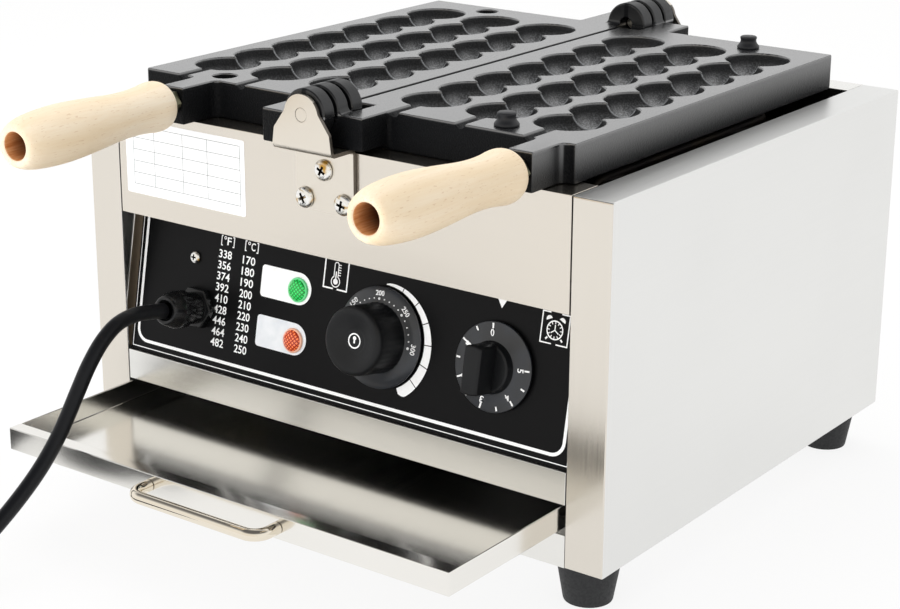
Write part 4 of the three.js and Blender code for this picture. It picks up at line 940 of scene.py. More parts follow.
zinc = finish("zinc_plated_steel_sheet", "E8E1D5", 0.3, 1.0, rough=(420, 3, 0.28, 0.33), raised=(90, 1, 0.004, 0.1))
sheared, tree, shader = new_material("sheared_zinc_plated_edge", "77716A", 0.42, 1.0)
link(tree, speckle(tree, object_place(tree, (60, 900, 900)), 1.0, 2, 0.36, 0.5), shader["Roughness"])
screw_zinc, tree, shader = new_material("yellow_chromated_zinc_screw", "F0EDE4", 0.2, 1.0)
tinge = speckle(tree, object_place(tree), 170, 1, -1.1, 1)
# The dark brown 3A2F24 that the ambient occlusion mixes into the cross recess and the head's hollows is painted shade.
open_sky = add_node(tree, "ShaderNodeAmbientOcclusion", {"only_local": True, "samples": 8}, {"Distance": 0.0022})
painted_recess_shade = add_node(tree, "ShaderNodeMapRange", None, (open_sky.outputs["AO"], 0.45, 0.8), 0)
plating = three_colours(tree, tinge, "F4F3F0", "EDE9DE", "C79B4C")
plating_with_painted_recess_shade = add_node(tree, "ShaderNodeMix", mixed, {"Factor": painted_recess_shade, "A": linear("3A2F24"), "B": plating}, "Result")
link(tree, plating_with_painted_recess_shade, shader["Base Color"])

case_top = 235.5
case_depth = 332.0
bracket_half, bracket_sheet, bracket_reach = 20.8, 2.2, 21.5
tongue_top = 11.4


def bracket_outline():
    """Places along the sheet's middle as (y, z) with the half width there, from the foot to the tongue's top."""
    stations = []
    foot, shelf = case_top - 36.5, case_top + 2.8 - bracket_sheet / 2
    y_foot, y_tongue = -0.3 - bracket_sheet / 2, -bracket_reach + bracket_sheet / 2
    bend = 2.4
    for rise, narrower in ((0, 2.2), (0.5, 1.1), (1.2, 0.4), (2.4, 0)):
        stations.append((y_foot, foot + rise, bracket_half - narrower))
    for i in range(7):
        angle = math.pi / 2 * i / 6
        stations.append((y_foot - bend * (1 - math.cos(angle)), shelf - bend * (1 - math.sin(angle)), bracket_half))
    for i in range(7):
        angle = math.pi / 2 * i / 6
        stations.append((y_tongue + bend * (1 - math.sin(angle)), shelf + bend * (1 - math.cos(angle)), bracket_half))
    for height, half in ((247.6, 19.75), (248.6, 19.55), (249.5, 19.05), (250.4, 18.3), (258.6, 12.3), (259.4, 11.85)):
        stations.append((y_tongue, height, half))
    for i in range(1, 24):
        angle = math.radians(10 + 80 * i / 23.4)
        stations.append((y_tongue, hinge_height + tongue_top * math.sin(angle), tongue_top * math.cos(angle) + 0.35))
    return stations


def sheet_strip(stations, thickness):
    """A strip of sheet bent along its stations, as a closed shape."""
    places = np.array([(y, z) for y, z, half in stations])
    ways = np.gradient(places, axis=0)
    ways /= np.linalg.norm(ways, axis=1, keepdims=True)
    sections = []
    for (y, z, half), (dy, dz) in zip(stations, ways):
        ny, nz = -dz * thickness / 2, dy * thickness / 2
        sections.append([(-half, y + ny, z + nz), (half, y + ny, z + nz), (half, y - ny, z - nz), (-half, y - ny,
            z - nz)])
    return rings(sections)


def rod_shape(radius, place, direction, length, chamfer=0.0, steps=48):
    """A rod from a place along a direction, its rims eased."""
    profile = [(0, 0), (radius - chamfer, 0), (radius, chamfer), (radius, length - chamfer),
               (radius - chamfer, length), (0, length)]
    if not chamfer:
        profile = [(0, 0), (radius, 0), (radius, length), (0, length)]
    return along_axis(turned_shape(profile, steps), place, direction)


def mirrored_back(shape):
    return np.asarray(shape[0]) * (1, -1, 1) + (0, case_depth, 0), shape[1]


strip = sheet_strip(bracket_outline(), bracket_sheet)
pin_hole = rod_shape(4.08, (0, -24, hinge_height), (0, 1, 0), 8)
screw_places = [(0, case_top - 12.4), (-13.9, case_top - 30.1), (13.9, case_top - 30.1)]
for word, flip in (("front", lambda shape: shape), ("rear", mirrored_back)):
    bracket = solid(f"{word}_bracket", flip(strip), zinc)
    screw_holes = [rod_shape(3.0, (x, -6, z), (0, 1, 0), 8, steps=32) for x, z in screw_places]
    carved(bracket, *[flip(hole) for hole in (pin_hole, *screw_holes)])
    bracket.data.materials.append(sheared)
    for face in bracket.data.polygons:
        face.material_index = int(abs(face.normal.x) > 0.6 and face.center.z < (hinge_height + 8) * 0.001)
    rounded(sharp_normals(bracket), 0.45, 3, 40)
    stands_for(bracket, "zinc_plated", f"{word}_hinge_bracket")
    pin = solid(f"{word}_pin", flip(rod_shape(4.0, (0, -21.45, hinge_height), (0, 1, 0), 36.25, 0.25)), zinc)
    stands_for(sharp_normals(pin), "zinc_plated", f"{word}_hinge_pin")


def cross_recess(reach, width, top, depth):
    """The four tapered wings of a cross recess, as one shape to cut with."""
    shapes = []
    for turn in (0, math.pi / 2):
        section = []
        for z, share in ((top + 0.6, 1.1), (top - depth, 0.6)):
            a, b = reach * share, width * (0.75 + 0.25 * share)
            section.append([(x * math.cos(turn) - y * math.sin(turn), x * math.sin(turn) + y * math.cos(turn), z)
                            for x, y in ((-a, -b), (a, -b), (a, b), (-a, b))])
        shapes.append(rings(section))
    return shapes


def in_metres(points):
    """Millimetres from a pattern's own origin, as metres."""
    return np.asarray(points) * 0.001


def screw_pattern(name, material, head, height, shank, length):
    """A pan head screw that looks up, its head standing on nought."""
    profile = [(0, -length), (shank * 0.8, -length), (shank, -length + 0.6), (shank, 0), (head * 0.97, 0),
               (head, height * 0.1), (head, height * 0.3), (head * 0.95, height * 0.52), (head * 0.83, height * 0.76),
               (head * 0.64, height * 0.92), (head * 0.4, height), (0, height)]
    piece = solid(name, turned_shape(profile, 40), material, None, units=in_metres)
    for points, faces in cross_recess(head * 0.5, head * 0.13, height, height * 0.85):
        carved(piece, (np.asarray(points) - (0.0, CASE_FRONT * 1000, 0.0), faces))
    return sharp_normals(piece, 30)


case_screws = [(x, -0.3 - bracket_sheet - 0.3, z) for x, z in screw_places]
case_screws += [(x, case_depth + 0.6 + bracket_sheet, z) for x, z in screw_places]
screw_aims = [(math.pi / 2, turn, 0) for turn in (0.5, 1.1, 0.2)] + [(-math.pi / 2, turn, 0) for turn in (0.8, 0.3,
    1.3)]
repeated("bracket_screws", screw_pattern("bracket_screw", screw_zinc, 6.1, 3.0, 2.5, 9.0), case_screws, screw_aims,
         screw_zinc, "case", "zinc_plated", [f"{word}_bracket_{place}_screw" for word in ("front", "rear")
                                             for place in ("top", "left", "right")])


# Handles
# Turned beech, sanded and left bare, with a deep hole in the open end. A long bolt in the hole goes
# through the wood and a flat nut into the plate's lug.
wood_start, wood_length = 8.91, 116.4
wood_outline = [(0.0, 10.0), (0.006, 11.2), (0.02, 13.1), (0.05, 14.4), (0.09, 14.5), (0.14, 13.75), (0.2, 13.2),
                (0.27, 13.05), (0.35, 13.4), (0.45, 14.35), (0.55, 15.3), (0.65, 16.0), (0.73, 16.2),
                (0.81, 15.9), (0.87, 15.35), (0.92, 14.6), (0.955, 13.6), (0.98, 12.5), (0.992, 11.7), (1.0, 10.6)]
hole_radius, hole_depth = 7.7, 46.0

beech, tree, shader = new_material("turned_beech", "F5E3C6", 0.5, Specular_IOR_Level=0.35)
fibres = speckle(tree, object_place(tree, (900, 26, 900)), 1.0, 3, 0, 1)
bands = speckle(tree, object_place(tree, (85, 5, 85)), 1.0, 2, 0, 1)
flecks = speckle(tree, object_place(tree, (1500, 190, 1500)), 1.0, 1)
pores = add_node(tree, "ShaderNodeMapRange", None, (flecks, 0.94, 1.0, 0.0, 0.4), 0)
ground = three_colours(tree, bands, "F1DCBB", "F6E4C8", "F9ECD6")
faint = add_node(tree, "ShaderNodeMath", {"operation": "MULTIPLY"}, (fibres, 0.3), 0)
grain = add_node(tree, "ShaderNodeMix", mixed, {"Factor": faint, "A": ground, "B": linear("E9CDA5")}, "Result")
flecked = add_node(tree, "ShaderNodeMix", mixed, {"Factor": pores, "A": grain, "B": linear("CDA577")}, "Result")
link(tree, flecked, shader["Base Color"])
raised = add_node(tree, "ShaderNodeBump", None, {"Height": fibres, "Distance": 0.00003, "Strength": 0.4}, 0)
link(tree, raised, shader["Normal"])
link(tree, speckle(tree, object_place(tree, (400, 30, 400)), 1.0, 2, 0.44, 0.58), shader["Roughness"])
# The bore's orange colours stand partly for the bored wood and partly for painted warm bounce light; deeper in, the
# wall darkens to 4A2412, which is painted shade.
hole_wood, tree, shader = new_material("bored_end_grain_beech", "C58850", 0.75)
drilled = speckle(tree, object_place(tree, (900, 60, 900)), 1.0, 3, 0, 1)
bored = three_colours(tree, drilled, "C77F45", "DC9A60", "E8B27C")
away = add_node(tree, "ShaderNodeSeparateXYZ", inputs={"Vector": object_place(tree)}).outputs["Y"]
mouth = CASE_FRONT + (lug_front - wood_start - wood_length) * 0.001
painted_bore_shade = add_node(tree, "ShaderNodeMapRange", None, (away, mouth + 0.003, mouth + 0.019), 0)
bore_wood_with_painted_shade = add_node(tree, "ShaderNodeMix", mixed, {"Factor": painted_bore_shade, "A": bored, "B": linear("4A2412")}, "Result")
link(tree, bore_wood_with_painted_shade, shader["Base Color"])
chips = add_node(tree, "ShaderNodeBump", None, {
    "Height": speckle(tree, object_place(tree), 900, 2), "Distance": 0.00008, "Strength": 0.6}, 0)
link(tree, chips, shader["Normal"])


def second_finish(piece, material, chosen):
    """Gives a second material to the faces whose middles, in millimetres, are chosen."""
    piece.data.materials.append(material)
    for face in piece.data.polygons:
        middle = np.array(face.center) * 1000 - (0.0, CASE_FRONT * 1000, 0.0)
        face.material_index = int(chosen(middle))


def six_sided(reach, levels, middle=(0, 0)):
    """A nut on an upright axis. Its levels are heights, each with the share of its reach there."""
    sections = []
    for level, share in levels:
        sections.append([(middle[0] + reach * share * math.cos(math.pi * k / 3),
                          middle[1] + reach * share * math.sin(math.pi * k / 3), level) for k in range(6)])
    return rings(sections)


olive = finish("olive_chromated_nut", "6E6C58", 0.36, 1.0, rough=(380, 2, 0.28, 0.44))
outer = smooth_through([(wood_length * share + wood_start, radius) for share, radius in wood_outline], 4)
end = wood_start + wood_length
profile = [(4.3, wood_start), *[(radius, along) for along, radius in outer], (9.4, end),
           (hole_radius + 0.9, end - 0.1), (hole_radius + 0.2, end - 0.7), (hole_radius, end - 1.6),
           (hole_radius, end - hole_depth), (4.3, end - hole_depth), (4.3, wood_start)]
handle_shape = turned_shape(profile, 72)
nut_shape = six_sided(7.5, ((0.62, 0.93), (1.1, 1.0), (8.1, 1.0), (8.6, 0.93)))
head = end - hole_depth + 0.3
profile = [(0, -13), (3.4, -13), (4.0, -12.4), (4.0, head), (6.3, head), (6.6, head + 0.4), (6.6, head + 5.2),
           (6.2, head + 5.9), (5.4, head + 6.0), (3.4, head + 6.0), (3.2, head + 5.8), (3.2, head + 2.6),
           (0, head + 2.2)]
bolt_shape = turned_shape(profile, 40)
for side, word in ((-1, "left"), (1, "right")):
    body = f"{word}_leaf"
    seat, handle_line = np.array(handle_seats[side]), Vector(handle_lines[side])
    handle = solid(f"{word}_beech_handle", along_axis(handle_shape, seat, handle_line), beech, body)

    def in_hole(point):
        along = float((point - seat) @ np.array(handle_line))
        off = float(np.linalg.norm(point - seat - along * np.array(handle_line)))
        return off < hole_radius + 0.5 and along > wood_start + 1

    second_finish(handle, hole_wood, in_hole)
    sharp_normals(handle, 40)
    stands_for(handle, "beech", f"{word}_handle")
    nut = solid(f"{word}_flat_nut", along_axis(nut_shape, seat, handle_line), olive, body, False)
    bore = rod_shape(4.3, seat - 1.0 * np.array(handle_line), handle_line, 12, steps=32)
    carved(nut, bore)
    rounded(nut, 0.15, 2, 20)
    stands_for(nut, "zinc_plated", f"{word}_handle_nut")
    bolt = solid(f"{word}_long_bolt", along_axis(bolt_shape, seat, handle_line), zinc, body)
    sharp_normals(bolt)
    stands_for(bolt, "zinc_plated", f"{word}_handle_bolt")


# Drip tray and feet
# A pan folded from 1.2 mm stainless sheet with welded corners, on two zinc-plated angle runners. Its handle
# is a chromed 7 mm rod, bent at both ends and held by two screws from inside.
steel_pan = brushed("stainless_pan_sheet", "F1EFEA", 1, 0.16)
dressed_sheet("drip_tray", "tray_pan", steel_pan, "tray", 0.5, 3)
chrome = finish("bright_nickel_plate", "EBE2D2", 0.07, 1.0, rough=(120, 2, 0.04, 0.09))
tray_front, tray_middle = -101.0, 55.45
rod_radius, rod_bend = 3.5, 9.0
handle_half = 47.0
handle_front = tray_front - 16.0
rod_line = [(-handle_half, tray_front - 0.3, tray_middle)]
for corner, start in ((-1, math.pi), (1, 1.5 * math.pi)):
    for i in range(13):
        angle = start + math.pi / 2 * i / 12
        rod_line.append((corner * (handle_half - rod_bend) + rod_bend * math.cos(angle),
                         handle_front + rod_bend + rod_bend * math.sin(angle), tray_middle))
rod_line.append((handle_half, tray_front - 0.3, tray_middle))
sections = []
line = np.array(rod_line)
ways = np.gradient(line, axis=0)
ways /= np.linalg.norm(ways, axis=1, keepdims=True)
for place, way in zip(line, ways):
    side_way = np.cross(way, (0, 0, 1))
    sections.append([place + rod_radius * (math.cos(a) * side_way + math.sin(a) * np.array((0, 0, 1)))
                     for a in np.linspace(0, 2 * math.pi, 40, endpoint=False)])
tray_rod = solid("tray_rod", rings(sections), chrome, "tray")
screw_rows = [(x, tray_front + 1.5, tray_middle) for x in (-handle_half, handle_half)]
carved(tray_rod, *[rod_shape(2.2, (x, y - 0.5, z), (0, -1, 0), 9.6, steps=24) for x, y, z in screw_rows])
rounded(sharp_normals(tray_rod, 50), 0.3, 2, 50)
stands_for(tray_rod, "chrome_plated", "tray_handle")
repeated("tray_screws", screw_pattern("tray_screw", screw_zinc, 4.0, 2.4, 1.9, 9.4), screw_rows,
         [(-math.pi / 2, 0.4, 0), (-math.pi / 2, 1.0, 0)], screw_zinc, "tray", "zinc_plated",
         ["left_handle_screw", "right_handle_screw"])
for word in ("left", "right"):
    dressed_sheet(f"{word}_runner", f"{word}_angle_runner", zinc, edge=0.4, slot="zinc_plated")

rubber = finish("moulded_black_rubber", "1C1D1F", 0.62, rough=(700, 3, 0.55, 0.75), raised=(480, 3, 0.08, 0.5))
profile = [(0, 9), (5, 9), (5, 0.4), (5.4, 0), (13.0, 0), (13.7, 0.25), (14.05, 1.0), (18.0, 23.8), (18.3, 25.2),
           (18.1, 25.9), (17.6, 26.2), (0, 26.2)]
foot_pattern = solid("foot", turned_shape(profile, 56), rubber, None, units=in_metres)
sharp_normals(foot_pattern, 40)
repeated("rubber_feet", foot_pattern, [(x, y, 0) for x in (-163.5, 163.5) for y in (24, 308)], [(0, 0, 0)] * 4,
         rubber, "case", "black_rubber",
         ["front_left_foot", "front_right_foot", "rear_left_foot", "rear_right_foot"])


# Control panel
# A black polycarbonate overlay, screen-printed in white, on the slanted steel sheet. The numbers compare
# degrees Fahrenheit with degrees Celsius, and the symbols mark the two knobs.
def at_place(shape, place):
    """A turned shape stood on the panel at a place of its own."""
    points, faces = shape
    return on_panel(np.asarray(points) + (*place, 0)), faces


def off_axis(place):
    """How far out of the panel a point is, and how far from an axis that stands on it at a place."""
    middle = on_panel([(*place, 0)])[0]
    outward = on_panel([(0, 0, 1)])[0] - on_panel([(0, 0, 0)])[0]

    def measured(point):
        along = (point - middle) @ outward
        return along, np.linalg.norm(point - middle - along * outward)

    return measured


def prism(outline, low, high):
    """A flat shape of (across, up) points with a thickness, closed."""
    return rings([[(u, v, low) for u, v in outline], [(u, v, high) for u, v in outline]])


def stroke(path, width, low, high, closed=False):
    """A line of a given width along a path of (across, up) points, mitred at its corners."""
    path = np.asarray(path, float)
    before = np.roll(path, 1, 0) if closed else np.vstack((2 * path[0] - path[1], path[:-1]))
    after = np.roll(path, -1, 0) if closed else np.vstack((path[1:], 2 * path[-1] - path[-2]))
    one, two = path - before, after - path
    one /= np.linalg.norm(one, axis=1, keepdims=True)
    two /= np.linalg.norm(two, axis=1, keepdims=True)
    normal = np.stack((-(one + two)[:, 1], (one + two)[:, 0]), 1)
    normal /= np.linalg.norm(normal, axis=1, keepdims=True)
    across = normal[:, 0] * -one[:, 1] + normal[:, 1] * one[:, 0]
    offset = normal * (width / 2 / np.clip(across, 0.35, 1))[:, None]
    sections = [[(*(p + o), low), (*(p - o), low), (*(p - o), high), (*(p + o), high)] for p, o in zip(path, offset)]
    if not closed:
        return rings(sections)
    points, faces = rings(sections, closed_ends=False)
    last, count = 4 * (len(path) - 1), 4
    faces += [(last + k, last + (k + 1) % count, (k + 1) % count, k) for k in range(count)]
    return points, faces


def polar(centre, radius, degrees):
    angle = math.radians(degrees)
    return centre[0] + radius * math.cos(angle), centre[1] + radius * math.sin(angle)


def arc_points(centre, radius, start, end, steps=24):
    return [polar(centre, radius, a) for a in np.linspace(start, end, steps)]


def round_spot(centre, radius, low, high, steps=28):
    return prism(arc_points(centre, radius, 0, 360, steps + 1)[:-1], low, high)


def lettering(words, centre, high, wide, low, top, turn=0.0):
    """Words or numbers as a closed flat shape of a given height and width round a centre."""
    letters = bpy.data.curves.new("lettering", "FONT")
    letters.body = words
    letters.extrude = 0.5
    letters.offset = 0.012
    letters.resolution_u = 3
    stand = bpy.data.objects.new("lettering", letters)
    scene.collection.objects.link(stand)
    mesh = evaluated(stand)
    bpy.data.objects.remove(stand)
    points = np.array([v.co for v in mesh.vertices])
    faces = [tuple(p.vertices) for p in mesh.polygons]
    bpy.data.meshes.remove(mesh)
    least, most = points.min(0), points.max(0)
    points = (points - (least + most) / 2) / (most - least)
    u, v = points[:, 0] * wide, points[:, 1] * high
    angle = math.radians(turn)
    return np.column_stack((centre[0] + u * math.cos(angle) - v * math.sin(angle),
                            centre[1] + u * math.sin(angle) + v * math.cos(angle),
                            (low + top) / 2 + points[:, 2] * (top - low))), faces


def printed(name, shapes, material, body):
    """Ink shapes on the panel or on a knob, as one mesh."""
    points, faces = joined(*shapes)
    piece = solid(name, (on_panel(points), faces), material, body, False)
    return piece


overlay = finish("screen_printed_black_overlay", "0D0D0E", 0.34, rough=(700, 3, 0.3, 0.42),
                 raised=(1400, 2, 0.01, 0.35), Specular_IOR_Level=0.12)
white_ink = finish("white_screen_ink", "FBFBFA", 0.5, tints=(500, 2, "F8F8F7", "FBFBFA", "FEFEFE"))
grey_ink = finish("light_grey_screen_ink", "E2E5E9", 0.5, tints=(120, 2, "DDE1E6", "E4E7EA", "EBEDF0"))
dressed_sheet("control_fascia", "printed_overlay", overlay, edge=0.12, slot="black_panel")
hem_radius, sheet_front, sheet_side, hem_top = 0.7, -1.1, 172.0, 86.0
hem_shapes = []
for side in (-1, 1):
    foot, head = on_panel([(side * (sheet_side - hem_radius), v, sheet_front) for v in (1.5, hem_top)])
    hem_shapes.append(rod_shape(hem_radius, foot, Vector(head - foot).normalized(),
                                float(np.linalg.norm(head - foot)), 0.2, 16))
hems = solid("control_sheet_hems", joined(*hem_shapes), steel_across)
sharp_normals(hems, 40)

ink = (0.02, 0.07)
marks = []


def drawn(path, width, closed=False):
    marks.append(stroke(path, width, *ink, closed=closed))


line_side, line_foot, line_corner, line_top = 157.8, 6.3, 8.0, 85.0
lower = line_foot + line_corner
drawn([(-line_side, line_top), *arc_points((line_corner - line_side, lower), line_corner, 180, 270, 9),
       *arc_points((line_side - line_corner, lower), line_corner, 270, 360, 9), (line_side, line_top)], 1.9)
drawn([(-161.4, line_top), (-161.4, 2.0), (161.4, 2.0), (161.4, line_top)], 0.5)
fahrenheit = (338, 356, 374, 392, 410, 428, 446, 464, 482)
celsius = (170, 180, 190, 200, 210, 220, 230, 240, 250)
for i, (f, c) in enumerate(zip(fahrenheit, celsius)):
    level = 71.0 - 6.73 * i
    marks.append(lettering(str(f), (-93.2, level), 5.0, 10.2, *ink))
    marks.append(lettering(str(c), (-74.4, level - 0.4), 5.0, 9.8, *ink))
for symbol, middle in (("F", -92.2), ("C", -73.2)):
    marks.append(lettering(symbol, (middle + 1.2, 79.2), 4.8, 3.2, *ink))
    drawn(arc_points((middle - 2.1, 80.9), 0.8, 0, 330, 12), 0.45, True)
    for side in (-1, 1):
        bracket = [(3.9, 82.0), (5.0, 82.0), (5.0, 76.2), (3.9, 76.2)]
        drawn([(middle + side * out, level) for out, level in bracket], 0.6)
lamp_middle, lens_radius = -34.6, 6.2
power_level, heat_level = 60.7, 30.6


def lamp_ground(level, half):
    """A tab with rounded left corners and a round right end that goes round a lamp."""
    left, corner = -63.4, 2.2
    outline = arc_points((left + corner, level + half - corner), corner, 90, 180, 6)
    outline += arc_points((left + corner, level - half + corner), corner, 180, 270, 6)
    return prism(outline + arc_points((lamp_middle, level), half, -90, 90, 28), *ink)


marks.append(lamp_ground(power_level + 0.6, 9.5))
for path in ([(-16.7, 85), (-16.7, 66.3), (-9.6, 66.3)], [(-6.7, 66.3), (0.4, 66.3), (0.4, 85)]):
    drawn(path, 0.9)
stem = (-8.2, 70.6)
drawn([*arc_points(stem, 3.1, 118, 422, 26), *arc_points((stem[0], 80.4), 1.45, 0, 180, 8)], 0.55, True)
marks.append(round_spot(stem, 1.7, *ink))
drawn([stem, (stem[0], 76.5)], 0.8)
for i in range(5):
    drawn([(stem[0] + 1.8, 74.6 + 1.5 * i), (stem[0] + 3.4, 74.6 + 1.5 * i)], 0.5)
temperature_place, timer_place = (29.2, 45.7), (108.5, 45.7)
edges = np.linspace(91, -62, 8)
for i, (start, end) in enumerate(zip(edges, edges[1:])):
    first = start - (1.0 if i else 0)
    angles = np.linspace(first, end, 9)
    outer = [30.7 + 6.0 * min(max((91 - a) / 155, 0), 1) ** 0.62 for a in angles]
    if i == len(edges) - 2:
        outer[-3:] = [outer[-4] - 0.2, outer[-4] - 1.2, outer[-4] - 3.0]
    outline = [polar(temperature_place, r, a) for a, r in zip(angles, outer)]
    marks.append(prism(outline + arc_points(temperature_place, 30.1, end, first, 9), *ink))
marks.append(prism([(107.7, 78.0), (110.6, 83.0), (104.5, 83.0)], *ink))
clock = (143.0, 72.9)
for path in ([(141.6, 65.3), (134.4, 65.3), (134.4, 82.2), (139.4, 82.2)],
             [(144.6, 65.3), (151.7, 65.3), (151.7, 82.2), (146.4, 82.2)]):
    drawn(path, 0.7)
drawn(arc_points(clock, 5.0, 0, 350, 36), 0.7, True)
for i in range(12):
    drawn([polar(clock, r, 30 * i) for r in (3.4, 4.6)], 0.5)
for degrees in (90, 215, 325):
    drawn([clock, polar(clock, 3.0, degrees)], 0.6)
for side in (-1, 1):
    bell = (clock[0] + side * 4.1, clock[1] + 5.5)
    marks.append(prism(arc_points(bell, 2.0, -25 * side, 180 - 25 * side, 12), *ink))
    drawn([(clock[0] + side * 4.2, clock[1] - 4.3), (clock[0] + side * 5.4, clock[1] - 5.6)], 1.0)
printed("panel_print", marks, white_ink, "case")
printed("heat_lamp_ground", [lamp_ground(heat_level + 0.8, 9.5)], grey_ink, "case")


# Lamps and panel screw
# Two neon lamps with domed lenses of clear coloured acrylic. Moulded diagonal ribs in the lens spread the
# light, so it shows a fine net.
def netted_lens(name, deep, middle, pale):
    material, tree, shader = new_material(name, middle, 0.22, Coat_Weight=0.5, Coat_Roughness=0.1)
    nets = []
    for turn in (math.pi / 4, -math.pi / 4):
        place = object_place(tree, (1, 0, 1), (0, turn, 0))
        wave = add_node(tree, "ShaderNodeTexWave", {"wave_type": "BANDS", "bands_direction": "X"}, {
            "Vector": place, "Scale": math.tau / (20 * 0.00175), "Distortion": 0.0})
        nets.append(wave.outputs["Fac"])
    dimmer = add_node(tree, "ShaderNodeMath", {"operation": "MINIMUM"}, nets, 0)
    net = add_node(tree, "ShaderNodeMapRange", None, (dimmer, 0, 0.6), 0)
    colour = three_colours(tree, net, deep, middle, pale)
    link(tree, colour, shader["Base Color"])
    link(tree, colour, shader["Emission Color"])
    shader["Emission Strength"].default_value = 0.25
    ribs = add_node(tree, "ShaderNodeBump", None, {"Height": net, "Distance": 0.00012, "Strength": 0.6}, 0)
    link(tree, ribs, shader["Normal"])
    return material


green_lens = netted_lens("green_acrylic_lens", "04772A", "0DB244", "2FD668")
red_lens = netted_lens("red_acrylic_lens", "8A1F06", "C43C12", "EC7C42")
pale_rim = finish("lit_acrylic_rim", "F2B79A", 0.3, tints=(300, 2, "EDB093", "F2B99D", "F6C5AD"))
green_rim = finish("lit_green_acrylic_rim", "6FE496", 0.3, tints=(300, 2, "5CDB87", "6FE496", "86ECA7"))
for word, level, lens, rim in (("power", power_level, green_lens, green_rim),
                               ("heating", heat_level, red_lens, pale_rim)):
    profile = [(0, -26), (5.3, -26), (5.8, -25.5), (5.8, 0.3), (7.3, 0.3), (7.3, 0.9), (7.1, 1.3), (6.6, 1.6),
               (6.3, 1.62), (6.1, 1.9), (5.6, 2.4), (4.8, 2.95), (3.6, 3.4), (2.2, 3.7), (0, 3.8)]
    place = (lamp_middle, level)
    lamp = solid(f"{word}_lamp_lens", at_place(turned_shape(profile, 56), place), lens)
    second_finish(lamp, rim, lambda point, measured=off_axis(place): measured(point)[1] > lens_radius)
    stands_for(sharp_normals(lamp, 50), f"{'green' if word == 'power' else 'red'}_lens", f"{word}_lamp")
lean_back = math.pi / 2 - panel_lean
repeated("panel_fixing", screw_pattern("panel_fixing", screw_zinc, 3.8, 2.2, 2.0, 8.0),
         on_panel([(-116.3, 65.2, 0.3)]), [(lean_back, 0, 0)], screw_zinc, "case", "zinc_plated", ["panel_screw"])


# Knobs
# Two knobs moulded in black phenolic, each in one piece with its numbered dial. The temperature knob has a
# dished face and fine grip ribs, and the timer knob a bar across a round boss.
phenolic = finish("black_phenolic_moulding", "101113", 0.36, rough=(900, 3, 0.32, 0.46),
                  raised=(1100, 2, 0.015, 0.4), Specular_IOR_Level=0.28)
dial_black = finish("satin_black_dial_with_blue_sheen", "15181D", 0.3, tints=(60, 2, "131519", "15181D", "191E26"),
                    Specular_IOR_Level=0.6, Coat_Weight=0.25, Coat_Roughness=0.25)


def on_skirt(place, highest, inner):
    """Whether a point is on the numbered dial round a knob's grip."""
    measured = off_axis(place)
    return lambda point: measured(point)[0] < highest and measured(point)[1] > inner


def ribbed_turning(profile, ribs, steps):
    """A turned shape whose radius is cut by ribs. Each point is (radius, height, rib depth)."""
    sections = []
    for radius, height, depth in profile:
        sections.append([((radius - depth * (0.5 - 0.5 * math.cos(ribs * a))) * math.cos(a),
                          (radius - depth * (0.5 - 0.5 * math.cos(ribs * a))) * math.sin(a), height)
                         for a in np.linspace(0, 2 * math.pi, steps, endpoint=False)])
    return rings(sections)


skirt = [(29.0, 1.4, 0), (29.2, 1.7, 0), (29.2, 3.0, 0), (28.9, 3.3, 0), (24.5, 4.3, 0), (20.9, 5.0, 0), (20.2, 5.3, 0)]
grip = [(20.0, 5.9, 0.12), (20.0, 10, 0.14), (19.95, 18, 0.14), (19.9, 23.4, 0.1), (19.8, 24.8, 0.05), (19.55, 25.9, 0),
        (19.0, 26.8, 0), (18.1, 27.35, 0), (17.0, 27.5, 0), (15.4, 27.35, 0), (13.0, 26.7, 0), (10.4, 25.9, 0),
        (8.6, 25.45, 0), (7.5, 25.2, 0), (7.0, 25.0, 0), (6.6, 24.9, 0)]
knob_shape = ribbed_turning([(20.0, 1.4, 0), *skirt, *grip], 36, 288)
knob = solid("temperature_grip", at_place(knob_shape, temperature_place), phenolic, "temperature_control")
second_finish(knob, dial_black, on_skirt(temperature_place, 5.25, 20.2))
shaft_hole = turned_shape([(0, -2), (3.3, -2), (3.3, 17.3), (0, 17.3)], 32)
carved(knob, at_place(shaft_hole, temperature_place))
stands_for(sharp_normals(knob, 40), "black_moulding", "temperature_knob")
numbers = []
for value, degrees in ((150, 138), (200, 93), (250, 46), (300, -4)):
    spot = polar(temperature_place, 25.6, degrees)
    numbers.append(lettering(str(value), spot, 3.0, 6.0, 3.7, 4.5, degrees - 90))
    numbers.append(round_spot(polar(temperature_place, 22.4, degrees), 0.75, 4.3, 5.0, 16))
for start, end in ((138, 93), (93, 46), (46, -4)):
    for i in range(1, 5):
        spot = polar(temperature_place, 22.6, start + (end - start) * i / 5)
        numbers.append(round_spot(spot, 0.42, 4.3, 4.95, 12))
for degrees in (-112, -142):
    numbers.append(round_spot(polar(temperature_place, 24.5, degrees), 0.5, 4.0, 4.65, 12))
numbers.append(stroke(arc_points(temperature_place, 4.0, 0, 354, 40), 0.75, 24.6, 24.98, closed=True))
across, up = temperature_place
numbers.append(stroke([(across, up - 1.4), (across, up + 1.2)], 1.1, 24.6, 24.98))
numbers.append(round_spot((across, up + 1.5), 1.15, 24.6, 24.99, 20))
printed("temperature_numbers", numbers, white_ink, "temperature_control")

